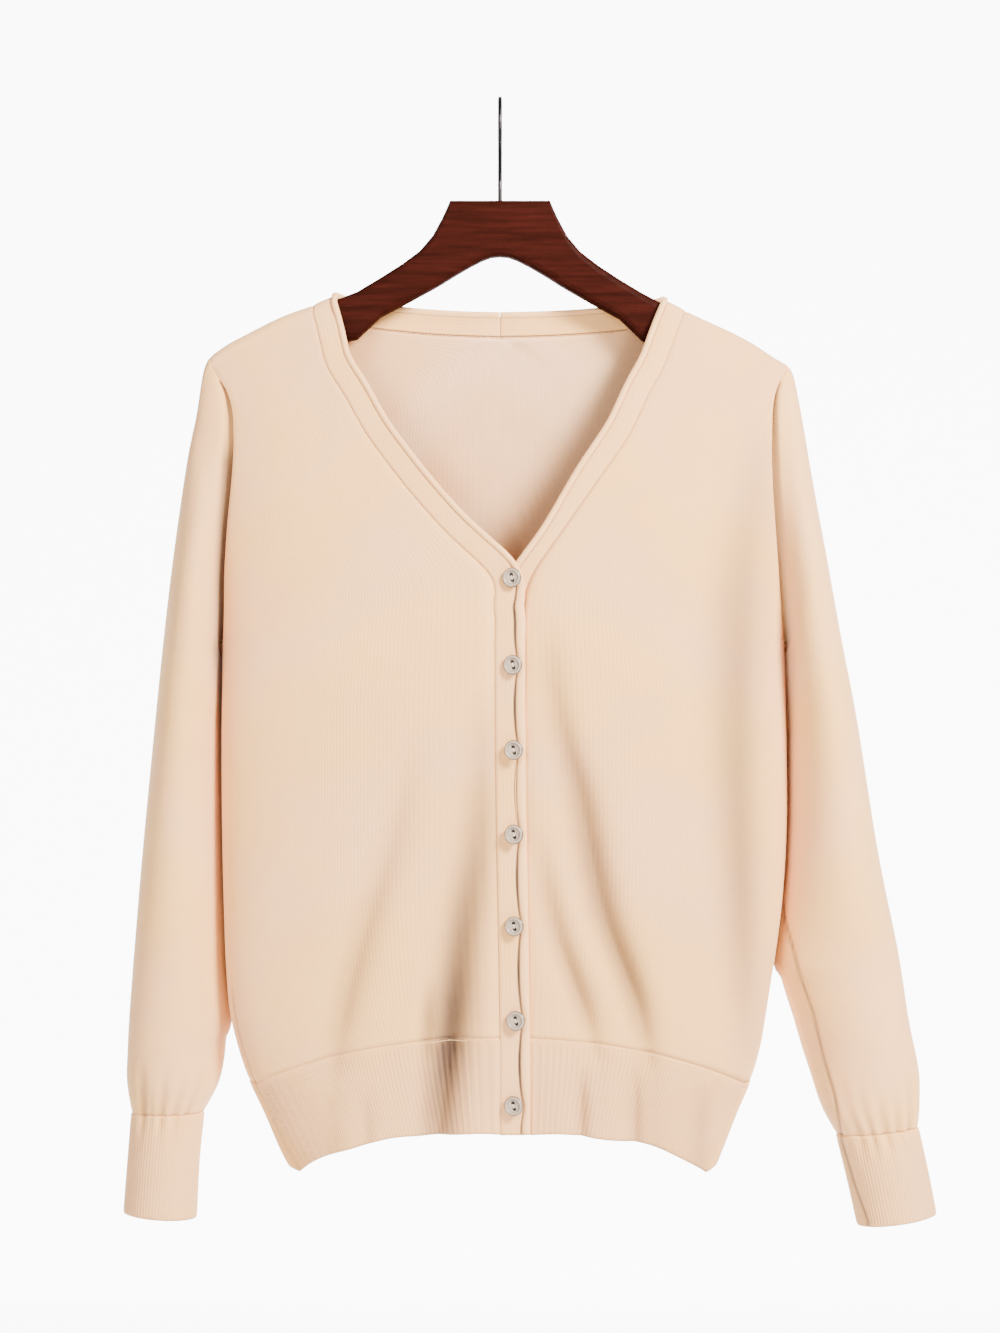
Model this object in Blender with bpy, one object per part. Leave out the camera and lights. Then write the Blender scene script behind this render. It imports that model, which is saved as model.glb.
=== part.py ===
"""A button cardigan that hangs on a wooden hanger, each cut piece a wall of its own.

The origin is the seat inside the hook, +X is the wearer's left, -Y the front, +Z up.
Tables are in millimetres and MM turns them into metres.
"""
import math

import bmesh
import bpy
import numpy as np
from mathutils import Vector

MM = 0.001

# Driving dimensions, in millimetres
KNIT_WALL = 1.6
RIB_WALL = 2.0
SEAM_GAP = 0.3
RIB_RELIEF = 0.5
BAND_WIDTH = 13.5
TRIM_RADIUS = 2.2
FRONT_OVERLAP = 5.4
BUTTON_DIAMETER = 13.0
BUTTON_THICKNESS = 2.6
HOOK_WIRE = 3.0
HOOK_INNER_RADIUS = 20.0
HANGER_THICKNESS = 12.0
HANGER_EDGE = 5.8
SHOULDER_ARC = 9.4
ROLL_POWER = 3.0
CREASE_LIMIT = 0.5

# Shoulder line of the cloth's outer face: x, z
SHOULDER_RIGHT = [(-205, -181), (-198, -174.8), (-186, -165.9), (-172, -158.4), (-159, -151.6),
                  (-146, -145.6), (-126.5, -138.6), (-107, -130), (-96, -126)]
SHOULDER_LEFT = [(96, -127), (107, -132.6), (126, -142.6), (146, -152), (159, -158),
                 (172, -165), (185, -173.6), (197, -181), (205, -187)]

# Body half width and depth: z, half width right, half width left, front depth, back depth
BODY = [(-126, 226, 226, 9.4, 9.4),
        (-150, 218, 218, 13, 15),
        (-178, 212, 212, 20, 21),
        (-200, 198, 200, 24.5, 25),
        (-230, 194, 198, 31, 30),
        (-260, 192.5, 197, 36, 34),
        (-312, 190, 195, 42, 39),
        (-367, 188.4, 193.1, 46, 42),
        (-435, 189, 194.5, 47, 44),
        (-496, 188.6, 194.5, 46.5, 44),
        (-552, 187.3, 190.6, 46, 43),
        (-595, 185.6, 184.6, 45, 42),
        (-617, 183.6, 181, 44, 41),
        (-641, 178.2, 177, 43, 40),
        (-665, 170, 170, 41.5, 38),
        (-687, 159.1, 160.5, 40, 36.5),
        (-711, 147.6, 150.5, 38.5, 35),
        (-730, 136.7, 142, 37, 34)]

# Armhole, from the shoulder tip down to the underarm: x right, x left, z of the front half
ARMHOLE_FRONT = [(-198, 197, -177.8), (-191.5, 191, -189), (-184.2, 186.5, -200),
                 (-179.8, 183.6, -230), (-181.4, 184, -262), (-186.2, 187.6, -312),
                 (-187.2, 190.6, -350), (-188.2, 192.8, -371)]
ARMHOLE_BACK = [(-198, 197, -177.8), (-193.5, 193, -189), (-188.5, 189, -202),
                (-184.5, 186, -230), (-184, 186.5, -262), (-186.6, 188.6, -312),
                (-187.4, 191, -350), (-188.2, 192.8, -371)]

# Line where each front meets its band: x, z, from the shoulder down to the placket
NECK_RIGHT = [(-126.5, -139), (-126.2, -148), (-122.6, -162), (-113.5, -186), (-101, -210),
              (-87, -232), (-67, -259), (-40, -290.5), (-22, -306.4), (-12.6, -316),
              (-6.6, -324), (-3.7, -334.7), (-2, -349.4), (-1.6, -371)]
NECK_LEFT = [(126, -142.6), (122.6, -151), (117.6, -165), (106.5, -187), (94.5, -215),
             (79, -241), (58, -270), (38, -299), (28, -312.7), (22.6, -320),
             (19.2, -329), (18.2, -340), (18, -352), (18, -371)]
# Line where the back meets its band: share of the neck's half width, share of the shoulder's rise
NECK_BACK = [(1.0, 1.0), (0.97, 0.80), (0.90, 0.60), (0.75, 0.38), (0.5, 0.16), (0.0, 0.0)]
NECK_BACK_Z = -161.0
# Where the rows above the underarm start: drop down the front neck line, share of the back neck
# line, and then the heights on the middle of the back
FRONT_STARTS = (0, 2.2, 7.5, 28, 55, 85, 118, 150, 180, 208, 232)
BACK_STARTS = (0, 0.016, 0.053, 0.17, 0.42, 0.7, 1.0)
BACK_MIDDLE = (-205, -255, -300, -340)

# Rows below the underarm: z at the front edge, z at the side, power of the droop towards the side
ROWS = [(-371, -371, 1.0), (-410, -410, 1.0), (-455, -455, 1.0), (-500, -502, 1.0),
        (-545, -551, 1.5), (-580, -594, 1.8), (-608, -630, 2.0), (-632, -666, 2.2)]
HEM_ROWS = [(-632, -666, 2.2), (-664, -692, 2.6), (-697, -722, 3.3)]
# How far in front of the side line the side seam lies: z, depth
SIDE_SEAM = [(-371, 0), (-540, 0), (-600, 8), (-666, 17), (-711, 19)]

# Soft folds: x top, z top, x middle, z middle, x bottom, z bottom, half width, depth
FRONT_FOLDS = [(-11, -440, -27, -560, -41, -690, 10, 6.5),
               (-64, -440, -88, -540, -113, -640, 15, 4.0),
               (-44, -590, -46, -620, -48, -650, 6, 2.5),
               (40, -370, 66, -520, 97, -640, 12, 6.0),
               (24, -500, 40, -570, 58, -640, 9, 3.5),
               (170, -230, 146, -370, 160, -650, 17, 5.0),
               (56, -620, 56, -660, 55, -690, 7, 3.0),
               (93, -640, 90, -665, 88, -690, 7, 3.0)]
BACK_FOLDS = [(-60, -330, -75, -500, -70, -690, 16, 5.0),
              (45, -360, 70, -520, 62, -690, 15, 5.0),
              (-140, -300, -125, -480, -118, -690, 14, 4.0),
              (140, -300, 122, -480, 118, -690, 14, 4.0)]

# Sleeve rings after the armhole: outer x, outer z, inner x, inner z, half depth, armhole bow kept
SLEEVE_RIGHT = [(-202, -185.5, -189, -371.8, 24, 0.66),
                (-206.5, -214, -189.6, -372.8, 30, 0.42),
                (-213, -247, -190.2, -374.5, 36, 0.24),
                (-222, -311, -190.8, -380, 41, 0.08),
                (-228.5, -367, -191, -400, 41.5, 0.0),
                (-234.5, -425, -191, -440, 40, 0.0),
                (-242.8, -509.7, -191, -515, 36.5, 0.0),
                (-248.4, -575, -189.6, -578, 32.5, 0.0),
                (-252.3, -618.5, -183, -620, 29.5, 0.0),
                (-253.6, -645, -188, -645, 28.5, 0.0),
                (-253.4, -666, -196, -667, 27.5, 0.0),
                (-250.4, -687, -201.3, -687, 25.5, 0.0)]
SLEEVE_LEFT = [(200.4, -190, 193.8, -371.8, 24, 0.66),
               (206, -219, 194.6, -372.8, 30, 0.42),
               (212.5, -258, 195.6, -374.5, 36, 0.24),
               (221.5, -308, 196.6, -380, 41, 0.08),
               (232, -367, 197, -402, 43, 0.0),
               (242.4, -421, 197.2, -446, 44, 0.0),
               (256.6, -509, 197, -522, 40, 0.0),
               (270.6, -577.7, 189.6, -580, 30, 0.0),
               (278.1, -625.3, 202, -629, 28, 0.0),
               (284.6, -658, 212, -662, 26.5, 0.0),
               (285.3, -680, 219, -684, 26, 0.0),
               (284.2, -697, 228.6, -702, 25, 0.0)]
# Cuff rings: outer x, outer z, inner x, inner z, half depth
CUFF_RIGHT = [(-250.4, -687, -201.3, -687, 25.5), (-253, -720, -204.6, -720, 25),
              (-255.8, -755, -206.6, -759, 24.5)]
CUFF_LEFT = [(284.2, -697, 228.6, -702, 25), (291, -728, 236.4, -734, 25),
             (296.5, -756, 243.1, -764, 24.5)]
# Troughs along a sleeve: angle (0 outer edge, 90 front), z top, z bottom, half width in degrees, depth
SLEEVE_RIGHT_FOLDS = [(52, -630, -690, 10, 2.4), (84, -636, -690, 9, 2.4),
                      (107, -640, -690, 9, 2.2), (130, -640, -690, 9, 2.0),
                      (-60, -630, -690, 12, 2.2), (-110, -630, -690, 12, 2.2),
                      (70, -420, -560, 16, 2.0)]
SLEEVE_LEFT_FOLDS = [(47, -640, -704, 9, 2.4), (92, -650, -704, 9, 2.4),
                     (118, -640, -704, 10, 2.4), (-60, -640, -704, 12, 2.2),
                     (-110, -640, -704, 12, 2.2), (142, -400, -450, 16, 3.0),
                     (120, -500, -580, 16, 2.5)]

BUTTON_HEIGHTS = (-325.5, -383.5, -440, -496, -557, -620, -677)
BUTTON_X = 8.2
BUTTON_TURN = 12.0

# Hanger's sections: distance from the middle, top z, underside z; the arms carry on in the cloth
HANGER_NECK = [(0, -67.7, -106.5), (6, -67.7, -107), (12, -67.7, -109.3), (20, -67.7, -113.4),
               (28, -67.7, -118), (34, -67.7, -121.7), (36.5, -73.5, -123.2), (39.5, -80, -125.2),
               (46, -92, -129), (54.5, -102, -133.7), (67, -111.5, -140.6), (81, -120.5, -148)]
HANGER_ARM_X = (97, 112, 126, 140, 154, 168, 178, 184)
HANGER_ARM_HEIGHT = (33, 30, 28, 26, 24, 22, 19, 14)
HANGER_TILT = 0.012
HANGER_TOP_Z = -67.7
STEM_DEPTH = 16.0
# A sleeve's inner edge lies this far behind its outer one, and this far clear of the body
SLEEVE_SET_BACK = 12.0
SLEEVE_CLEARANCE = 0.9

# Columns across a panel, angles of the points round half an armhole, ribs in each length
PANEL_ANGLES = 13
ARM_ANGLES = (0, 12, 24, 42, 62, 82, 102, 122, 142, 161, 180)
FRONT_RIBS = 34
HALF_BACK_RIBS = 34
CUFF_RIBS = 26

KNIT = (0.86, 0.71, 0.58)
RIB = (0.82, 0.66, 0.52)
TRIM = (0.79, 0.62, 0.48)
PEARL = (0.72, 0.60, 0.49)
WOOD = (0.12, 0.02, 0.01)
DARK_METAL = (0.03, 0.03, 0.03)


def curve_through(table, count):
    """Points at even steps along a smooth curve through the table's rows."""
    rows = np.array(table, dtype=float)
    steps = np.linalg.norm(np.diff(rows, axis=0), axis=1)
    place = np.concatenate([[0.0], np.cumsum(steps)])
    return smooth_lookup(place, rows, np.linspace(0.0, place[-1], count))


def smooth_lookup(place, rows, wanted):
    """Monotone-safe cubic through rows at the given places."""
    slope = np.gradient(rows, place, axis=0)
    index = np.clip(np.searchsorted(place, wanted, side="right") - 1, 0, len(place) - 2)
    span = (place[index + 1] - place[index])[:, None]
    t = (wanted - place[index])[:, None] / span
    start, end = rows[index], rows[index + 1]
    return ((2 * t**3 - 3 * t**2 + 1) * start + (t**3 - 2 * t**2 + t) * span * slope[index]
            + (3 * t**2 - 2 * t**3) * end + (t**3 - t**2) * span * slope[index + 1])


def lookup(table, z, column):
    """Value of a table's column at a height, for tables whose first column is a falling z."""
    heights = [-row[0] for row in table]
    return float(np.interp(-z, heights, [row[column] for row in table]))


def ridge(x):
    """Height of the shoulder line over a given x."""
    table = SHOULDER_RIGHT if x < 0 else SHOULDER_LEFT
    return float(np.interp(x, [row[0] for row in table], [row[1] for row in table]))


def shoulder_limit(x, z):
    """Depth of the cloth where it comes over the hanger: a quarter arc, then a slow spread."""
    drop = max(ridge(x) - z, 0.0)
    if drop < SHOULDER_ARC:
        return math.sqrt(SHOULDER_ARC**2 - (SHOULDER_ARC - drop) ** 2)
    return SHOULDER_ARC + 0.40 * (drop - SHOULDER_ARC)


def fold_depth(folds, x, z):
    """How far the soft folds draw the cloth inwards at a point."""
    total = 0.0
    for x_top, z_top, x_middle, z_middle, x_bottom, z_bottom, half_width, depth in folds:
        centre = np.interp(-z, [-z_top, -z_middle, -z_bottom], [x_top, x_middle, x_bottom])
        reach = np.interp(-z, [-z_top, -z_middle, -z_bottom], [0.0, 0.7, 1.0])
        total += depth * reach * math.exp(-(((x - centre) / half_width) ** 2))
    return total


def body_point(side, angle, z):
    """Outer face of the body at an angle from the front (0) round the side (90) to the back (180)."""
    half_width = lookup(BODY, z, 1 if side < 0 else 2)
    radians = math.radians(angle)
    x = side * half_width * math.sin(radians) ** (2 / ROLL_POWER)
    at_front = angle < 90
    depth = lookup(BODY, z, 3 if at_front else 4) * abs(math.cos(radians)) ** (2 / ROLL_POWER)
    limit = shoulder_limit(x, z)
    if min(depth, limit) < 0.01:
        return np.array([x, 0.0, z])
    depth = (depth**-5 + limit**-5) ** (-1 / 5)
    flat = math.cos(radians) ** 2
    depth -= fold_depth(FRONT_FOLDS if at_front else BACK_FOLDS, x, z) * flat
    return np.array([x, -depth if at_front else depth, z])


def angle_of(side, x, z, back=False):
    """Angle of the body point with the given x."""
    half_width = lookup(BODY, z, 1 if side < 0 else 2)
    share = min(max(side * x / half_width, 0.0), 1.0)
    angle = math.degrees(math.asin(share ** (ROLL_POWER / 2)))
    return 180 - angle if back else angle


def side_seam_angle(side, z):
    """Angle of the side seam, which comes forward towards the hem."""
    share = lookup(SIDE_SEAM, z, 1) / lookup(BODY, z, 3)
    return math.degrees(math.acos(min(share ** (ROLL_POWER / 2), 1.0)))


def armhole(side, back):
    """Points of one half of an armhole, from the shoulder tip to the underarm."""
    table = ARMHOLE_BACK if back else ARMHOLE_FRONT
    column = 0 if side < 0 else 1
    tip_x = table[0][column]
    rows = [(tip_x, ridge(tip_x))] + [(row[column], row[2]) for row in table[1:]]
    path = curve_through(rows, 60)
    top, bottom = path[0][1], path[-1][1]
    points = []
    for angle in ARM_ANGLES:
        z = top + (bottom - top) * (1 - math.cos(math.radians(angle))) / 2
        x = float(np.interp(-z, -path[:, 1], path[:, 0]))
        if angle == 0:
            points.append(np.array([x, 0.0, ridge(x)]))
        elif angle == 180:
            points.append(np.array([x, 0.0, z]))
        else:
            points.append(body_point(side, angle_of(side, x, z, back), z))
    return points


def panel_rows(side, back, starts):
    """Rows of a front or of half a back, each from its inner edge to the armhole."""
    rows = []
    for order, (start, end) in enumerate(zip(starts, armhole(side, back))):
        first = angle_of(side, start[0], start[2], back)
        last = angle_of(side, end[0], end[2], back)
        spread = np.sin(np.radians(np.linspace(first, last, PANEL_ANGLES))) ** (2 / ROLL_POWER)
        row = []
        for across in (spread - spread[0]) / (spread[-1] - spread[0]):
            x = start[0] + (end[0] - start[0]) * across
            bow = ridge(x) - ridge(start[0]) - (ridge(end[0]) - ridge(start[0])) * across
            z = start[2] + (end[2] - start[2]) * across + bow * max(0.0, 1 - order / 5)
            row.append(body_point(side, angle_of(side, x, z, back), z))
        if order == 0:
            row = [np.array([point[0], 0.0, ridge(point[0])]) for point in row]
        row[0], row[-1] = start, end
        rows.append(row)
    return rows


def lower_row(side, back, inner_x, z_inner, z_side, droop, count):
    """One row below the underarm, from the inner edge to the side seam."""
    first = angle_of(side, inner_x, z_inner, back)
    last = side_seam_angle(side, z_side)
    angles = np.linspace(first, last, count)
    reach = np.sin(np.radians(angles)) ** (2 / ROLL_POWER)
    if back:
        reach = np.where(angles < 90, 2 - reach, reach)
    heights = z_inner + (z_side - z_inner) * (reach / reach[-1]) ** droop
    return [body_point(side, angle, z) for angle, z in zip(angles, heights)]


def front_grid(side, neck):
    """Outer face of a front as rows of points, from the shoulder to the hem's rib."""
    path = curve_through(neck, 80)
    starts = []
    for drop in FRONT_STARTS:
        z = path[0][1] - drop
        x = float(np.interp(-z, -path[:, 1], path[:, 0]))
        starts.append(body_point(side, angle_of(side, x, z), z))
    starts[0] = np.array([neck[0][0], 0.0, ridge(neck[0][0])])
    rows = panel_rows(side, False, starts)
    for z_inner, z_side, droop in ROWS[1:]:
        rows.append(lower_row(side, False, neck[-1][0], z_inner, z_side, droop, PANEL_ANGLES))
    return np.array(rows)


def back_grid(side, neck_point):
    """Outer face of half the back, from the shoulder and the neck to the hem's rib."""
    rise = ridge(neck_point) - NECK_BACK_Z
    table = [(neck_point * share, NECK_BACK_Z + rise * height) for share, height in NECK_BACK]
    path = curve_through(table, 1001)
    starts = [np.array([neck_point, 0.0, ridge(neck_point)])]
    for share in BACK_STARTS[1:]:
        x, z = path[round(1000 * share)]
        starts.append(body_point(side, angle_of(side, x, z, True), z))
    starts += [body_point(side, 180, z) for z in BACK_MIDDLE]
    rows = panel_rows(side, True, starts)
    for z_inner, z_side, droop in ROWS[1:]:
        rows.append(lower_row(side, True, 0.0, z_inner, z_side, droop, PANEL_ANGLES))
    return np.array(rows)


def underlap(grid):
    """Moves the left front's middle behind the right front, fading out towards its side."""
    moved = grid.copy()
    near = np.exp(-((moved[..., 0] / 60.0) ** 2))
    low = np.clip((-240 - moved[..., 2]) / 60, 0, 1)
    moved[..., 1] += FRONT_OVERLAP * near * low
    return moved


def polyline(points, count):
    """Points at even index steps along a row of points."""
    place = np.linspace(0, len(points) - 1, count)
    return np.stack([np.interp(place, np.arange(len(points)), points[:, axis]) for axis in range(3)],
                    axis=1)


def hem_grid(side, back, seam_row, inner_x, ribs):
    """Outer face of a hem length, from the seam row down, with two columns to a rib."""
    count = 2 * ribs + 1
    rows = [polyline(seam_row, count)]
    for z_inner, z_side, droop in HEM_ROWS[1:]:
        rows.append(np.array(lower_row(side, back, inner_x, z_inner, z_side, droop, count)))
    return np.array(rows)


def rib_heights(grid):
    """Height of the ribs over a grid whose columns are ridge, furrow, ridge and so on."""
    wave = np.where(np.arange(grid.shape[1]) % 2 == 0, 0.0, RIB_RELIEF)
    fade = np.full(grid.shape[0], 1.0)
    fade[0] = 0.2
    return fade[:, None] * wave[None, :]


def body_reach(side, y, z):
    """Half width of the body at a depth and a height."""
    share = min(abs(y) / lookup(BODY, z, 3 if y < 0 else 4), 1.0)
    return lookup(BODY, z, 1 if side < 0 else 2) * (1 - share**ROLL_POWER) ** (1 / ROLL_POWER)


def beside_body(side, ring, share):
    """Moves a sleeve ring's inner half until it just clears the body, if it hangs near it."""
    inner = share > 0.4
    gap = min(side * x - body_reach(side, y, z) for x, y, z in ring[inner])
    if gap < 4:
        ring[:, 0] -= side * (gap - SLEEVE_CLEARANCE) * share**2
    return ring


def sleeve_angles():
    """Angles of a sleeve's columns, from the outer edge round by the front."""
    half = list(ARM_ANGLES)
    return np.radians(half + [360 - angle for angle in half[-2:0:-1]])


def sleeve_grid(side, rings, folds):
    """Rings of a sleeve from its armhole to the cuff."""
    front, back = armhole(side, False), armhole(side, True)
    loop = np.array(front + back[-2:0:-1])
    turn = sleeve_angles()
    share = (1 - np.cos(turn)) / 2
    tip, underarm = front[0], front[-1]
    chord_x = tip[0] + (underarm[0] - tip[0]) * share
    grid = [loop]
    for outer_x, outer_z, inner_x, inner_z, depth, bow in rings:
        x = outer_x + (inner_x - outer_x) * share + (loop[:, 0] - chord_x) * bow
        z = outer_z + (inner_z - outer_z) * share
        y = loop[:, 1] * bow - depth * np.sin(turn) * (1 - bow)
        y += SLEEVE_SET_BACK * share**2 * np.clip((-380 - inner_z) / 40, 0, 1) \
            * np.clip((690 + inner_z) / 40, 0, 1)
        ring = np.stack([x, y, z], axis=1)
        if inner_z < -380:
            ring = beside_body(side, ring, share)
        middle = ring.mean(axis=0)
        for angle, z_top, z_bottom, half_width, dent in folds:
            away = (np.degrees(turn) - angle + 180) % 360 - 180
            reach = np.clip((z_top - z) / (z_top - z_bottom), 0, 1)
            pull = dent * reach * np.exp(-((away / half_width) ** 2))
            ring = ring + (middle - ring) * (pull / np.linalg.norm(ring - middle, axis=1))[:, None]
        grid.append(ring)
    return np.array(grid)


def cuff_grid(rings, seam_ring, ribs):
    """Rings of a cuff, with two columns to a rib."""
    count = 2 * ribs
    turn = np.arange(count) * 2 * math.pi / count
    places = np.append(sleeve_angles(), 2 * math.pi)
    looped = np.vstack([seam_ring, seam_ring[:1]])
    grid = [np.stack([np.interp(turn, places, looped[:, axis]) for axis in range(3)], axis=1)]
    share = (1 - np.cos(turn)) / 2
    for outer_x, outer_z, inner_x, inner_z, depth in rings[1:]:
        x = outer_x + (inner_x - outer_x) * share
        z = outer_z + (inner_z - outer_z) * share
        grid.append(np.stack([x, -depth * np.sin(turn), z], axis=1))
    return np.array(grid)


class Sheet:
    """A piece of cloth: the points and faces of its outer side, with a normal at each point."""

    def __init__(self, grids, wall, closed=False, heights=None):
        self.wall = wall
        self.points, self.heights, self.faces = [], [], []
        places = {}
        for order, grid in enumerate(grids):
            index = np.empty(grid.shape[:2], dtype=int)
            for row in range(grid.shape[0]):
                for column in range(grid.shape[1]):
                    point = grid[row, column]
                    key = tuple(np.round(point, 3) + 0.0)
                    if key not in places:
                        places[key] = len(self.points)
                        self.points.append(point)
                        self.heights.append(heights[order][row, column] if heights else 0.0)
                    index[row, column] = places[key]
            columns = grid.shape[1] if closed else grid.shape[1] - 1
            for row in range(grid.shape[0] - 1):
                for column in range(columns):
                    after = (column + 1) % grid.shape[1]
                    face = [index[row, column], index[row + 1, column],
                            index[row + 1, after], index[row, after]]
                    self.faces.append(face if order == 0 else face[::-1])
        self.points = np.array(self.points)
        self.heights = np.array(self.heights)
        self.normals = self.point_normals()
        middle = self.points.mean(axis=0) if closed else self.points * (0, 0, 1)
        if (self.normals * (self.points - middle)).sum() < 0:
            self.faces = [face[::-1] for face in self.faces]
            self.normals = -self.normals

    def face_normal(self, face):
        corners = self.points[face]
        normal = np.cross(corners[2] - corners[0], corners[3] - corners[1])
        return normal / max(np.linalg.norm(normal), 1e-9)

    def point_normals(self):
        total = np.zeros_like(self.points)
        for face in self.faces:
            total[face] += self.face_normal(face)
        return total / np.maximum(np.linalg.norm(total, axis=1, keepdims=True), 1e-9)

    def boundary(self):
        """Edges that only one face uses, as (start, end, face)."""
        used = {}
        for face in self.faces:
            for start, end in zip(face, face[1:] + face[:1]):
                used[(start, end)] = face
        return [(start, end, face) for (start, end), face in used.items() if (end, start) not in used]

    def inward(self):
        """For each point of the outline, the directions from its two edges into the cloth."""
        found = {}
        for start, end, face in self.boundary():
            along = self.points[end] - self.points[start]
            across = np.cross(self.face_normal(face), along)
            across /= np.linalg.norm(across)
            found.setdefault(start, []).append(across)
            found.setdefault(end, []).append(across)
        return found

    def inset(self, distance):
        """Draws the outline in along the cloth, which leaves half a seam's gap."""
        for point, (first, second) in self.inward().items():
            self.points[point] += distance * (first + second) / max(1 + first @ second, 0.5)


def share_seam_normals(sheets):
    """Gives the points that meet at a seam one common normal, so that the walls meet squarely.

    In a sharp crease, such as under the arm, each piece keeps its own normal.
    """
    seam_points = []
    for sheet in sheets:
        for point, (first, second) in sheet.inward().items():
            seam_points.append((sheet, point, sheet.normals[point].copy(), (first + second) / 2))
    places = np.array([sheet.points[point] for sheet, point, _, _ in seam_points])
    for place, (sheet, point, own_normal, own_inward) in zip(places, seam_points):
        total = np.zeros(3)
        for order in np.flatnonzero(np.linalg.norm(places - place, axis=1) < SEAM_GAP):
            _, _, normal, inward = seam_points[order]
            if normal @ own_inward + own_normal @ inward < CREASE_LIMIT:
                total += normal
        sheet.normals[point] = total / np.linalg.norm(total)


def level_normals(sheet, row_points):
    """Makes the normals along a linked edge horizontal."""
    for place in row_points:
        near = np.flatnonzero(np.linalg.norm(sheet.points - place, axis=1) < 0.01)
        for point in near:
            normal = sheet.normals[point] * (1, 1, 0)
            sheet.normals[point] = normal / np.linalg.norm(normal)


def mesh_object(name, points, faces, material):
    """An object with a smooth-shaded mesh, its points given in millimetres."""
    mesh = bpy.data.meshes.new(name)
    mesh.from_pydata([tuple(point * MM) for point in points], [], faces)
    mesh.shade_smooth()
    mesh.set_sharp_from_angle(angle=math.radians(50))
    mesh.materials.append(material)
    thing = bpy.data.objects.new(name, mesh)
    garment.objects.link(thing)
    return thing


def cloth_object(name, sheet, material):
    """The closed wall of a sheet: its outer face, its inner face and the rim between them."""
    outer = sheet.points + sheet.normals * sheet.heights[:, None]
    inner = sheet.points - sheet.normals * sheet.wall
    count = len(outer)
    faces = [list(face) for face in sheet.faces]
    faces += [[point + count for point in reversed(face)] for face in sheet.faces]
    faces += [[end, start, start + count, end + count] for start, end, _ in sheet.boundary()]
    return mesh_object(name, np.vstack([outer, inner]), faces, material)


def neck_path(hem, front, back):
    """Points up the front edge, over the shoulder and to the middle of the back neck."""
    rows = [hem[::-1, 0], front[-2::-1, 0], back[1:len(BACK_STARTS), 0]]
    return np.vstack(rows)


def path_frames(side, path):
    """Outward and inward directions of the cloth along a neck path.

    Over the shoulder the inward direction runs up the slope of the shoulder line.
    """
    along = np.gradient(path, axis=0)
    along[-1] = (-side, 0, 0)
    along /= np.linalg.norm(along, axis=1, keepdims=True)
    outward, inward = [], []
    for (x, y, z), tangent in zip(path, along):
        lift = max(SHOULDER_ARC - ridge(x) + z, 0.0)
        slope = (ridge(x - side * BAND_WIDTH) - ridge(x)) / (-side * BAND_WIDTH)
        facing = np.array([-slope * lift, y if lift else math.copysign(1.0, y), lift])
        across = np.cross(tangent, facing)
        across *= math.copysign(1 / np.linalg.norm(across), across @ (-side, 0.0, 0.8))
        uphill = np.array([1.0, 0.0, slope]) * -side / math.hypot(1, slope)
        share = min(lift / 4, 1.0)
        across = across * (1 - share) + uphill * share
        across /= np.linalg.norm(across)
        facing -= across * (facing @ across)
        outward.append(facing / np.linalg.norm(facing))
        inward.append(across)
    return np.array(outward), np.array(inward)


def band_grid(path, outward, inward):
    """Outer face of a flat band from its seam to its free edge."""
    crown = 0.3
    middle = path + inward * BAND_WIDTH / 2 + outward * crown
    edge = path + inward * BAND_WIDTH
    return np.stack([path, middle, edge], axis=1)


def trim_object(name, side, path, outward, inward, material):
    """The round rolled edge beside a band."""
    clear_of_hanger = HANGER_THICKNESS / 2 + TRIM_RADIUS + 2 * SEAM_GAP
    sink = np.clip(np.abs(path[:, 1:2]) - clear_of_hanger, 0.1, 1.3)
    centre = path + inward * (BAND_WIDTH + TRIM_RADIUS + SEAM_GAP / 2) - outward * sink
    centre[-1, 0] = side * SEAM_GAP / 2
    kept = [0]
    for row in range(1, len(centre)):
        if np.linalg.norm(centre[row] - centre[kept[-1]]) > 1.5 * TRIM_RADIUS:
            kept.append(row)
    kept[-1] = len(centre) - 1
    centre, inward, outward = centre[kept], inward[kept], outward[kept]
    sides = 8
    turn = np.arange(sides) * 2 * math.pi / sides
    ring = (np.cos(turn)[:, None, None] * inward + np.sin(turn)[:, None, None] * outward) * TRIM_RADIUS
    ring[:, -1, 0] = 0.0
    points = (centre + ring).transpose(1, 0, 2).reshape(-1, 3)
    rows = len(centre)
    faces = [list(range(sides))]
    for row in range(rows - 1):
        for column in range(sides):
            after = (column + 1) % sides
            first, second = row * sides, (row + 1) * sides
            faces.append([first + column, second + column, second + after, first + after])
    faces.append([(rows - 1) * sides + column for column in reversed(range(sides))])
    if side > 0:
        faces = [face[::-1] for face in faces]
    return mesh_object(name, points, faces, material)


def make_material(name, colour, roughness, metallic=0.0):
    material = bpy.data.materials.new(name)
    material.use_nodes = True
    shader = material.node_tree.nodes["Principled BSDF"]
    shader.inputs["Base Color"].default_value = (*colour, 1.0)
    shader.inputs["Roughness"].default_value = roughness
    shader.inputs["Metallic"].default_value = metallic
    return material


def cut(thing, cutter):
    """Subtracts a cutter from an object."""
    modifier = thing.modifiers.new(cutter.name, "BOOLEAN")
    modifier.operation = "DIFFERENCE"
    modifier.object = cutter


def cylinder_cutter(name, radius, length, location, rotation=(0.0, 0.0, 0.0), vertices=12):
    bpy.ops.mesh.primitive_cylinder_add(vertices=vertices, radius=radius * MM, depth=length * MM,
                                        location=Vector(location) * MM, rotation=rotation)
    cutter = bpy.context.object
    cutter.name = name
    cutter.hide_render = True
    cutter.display_type = "WIRE"
    for collection in list(cutter.users_collection):
        collection.objects.unlink(cutter)
    cutters.objects.link(cutter)
    return cutter


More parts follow.
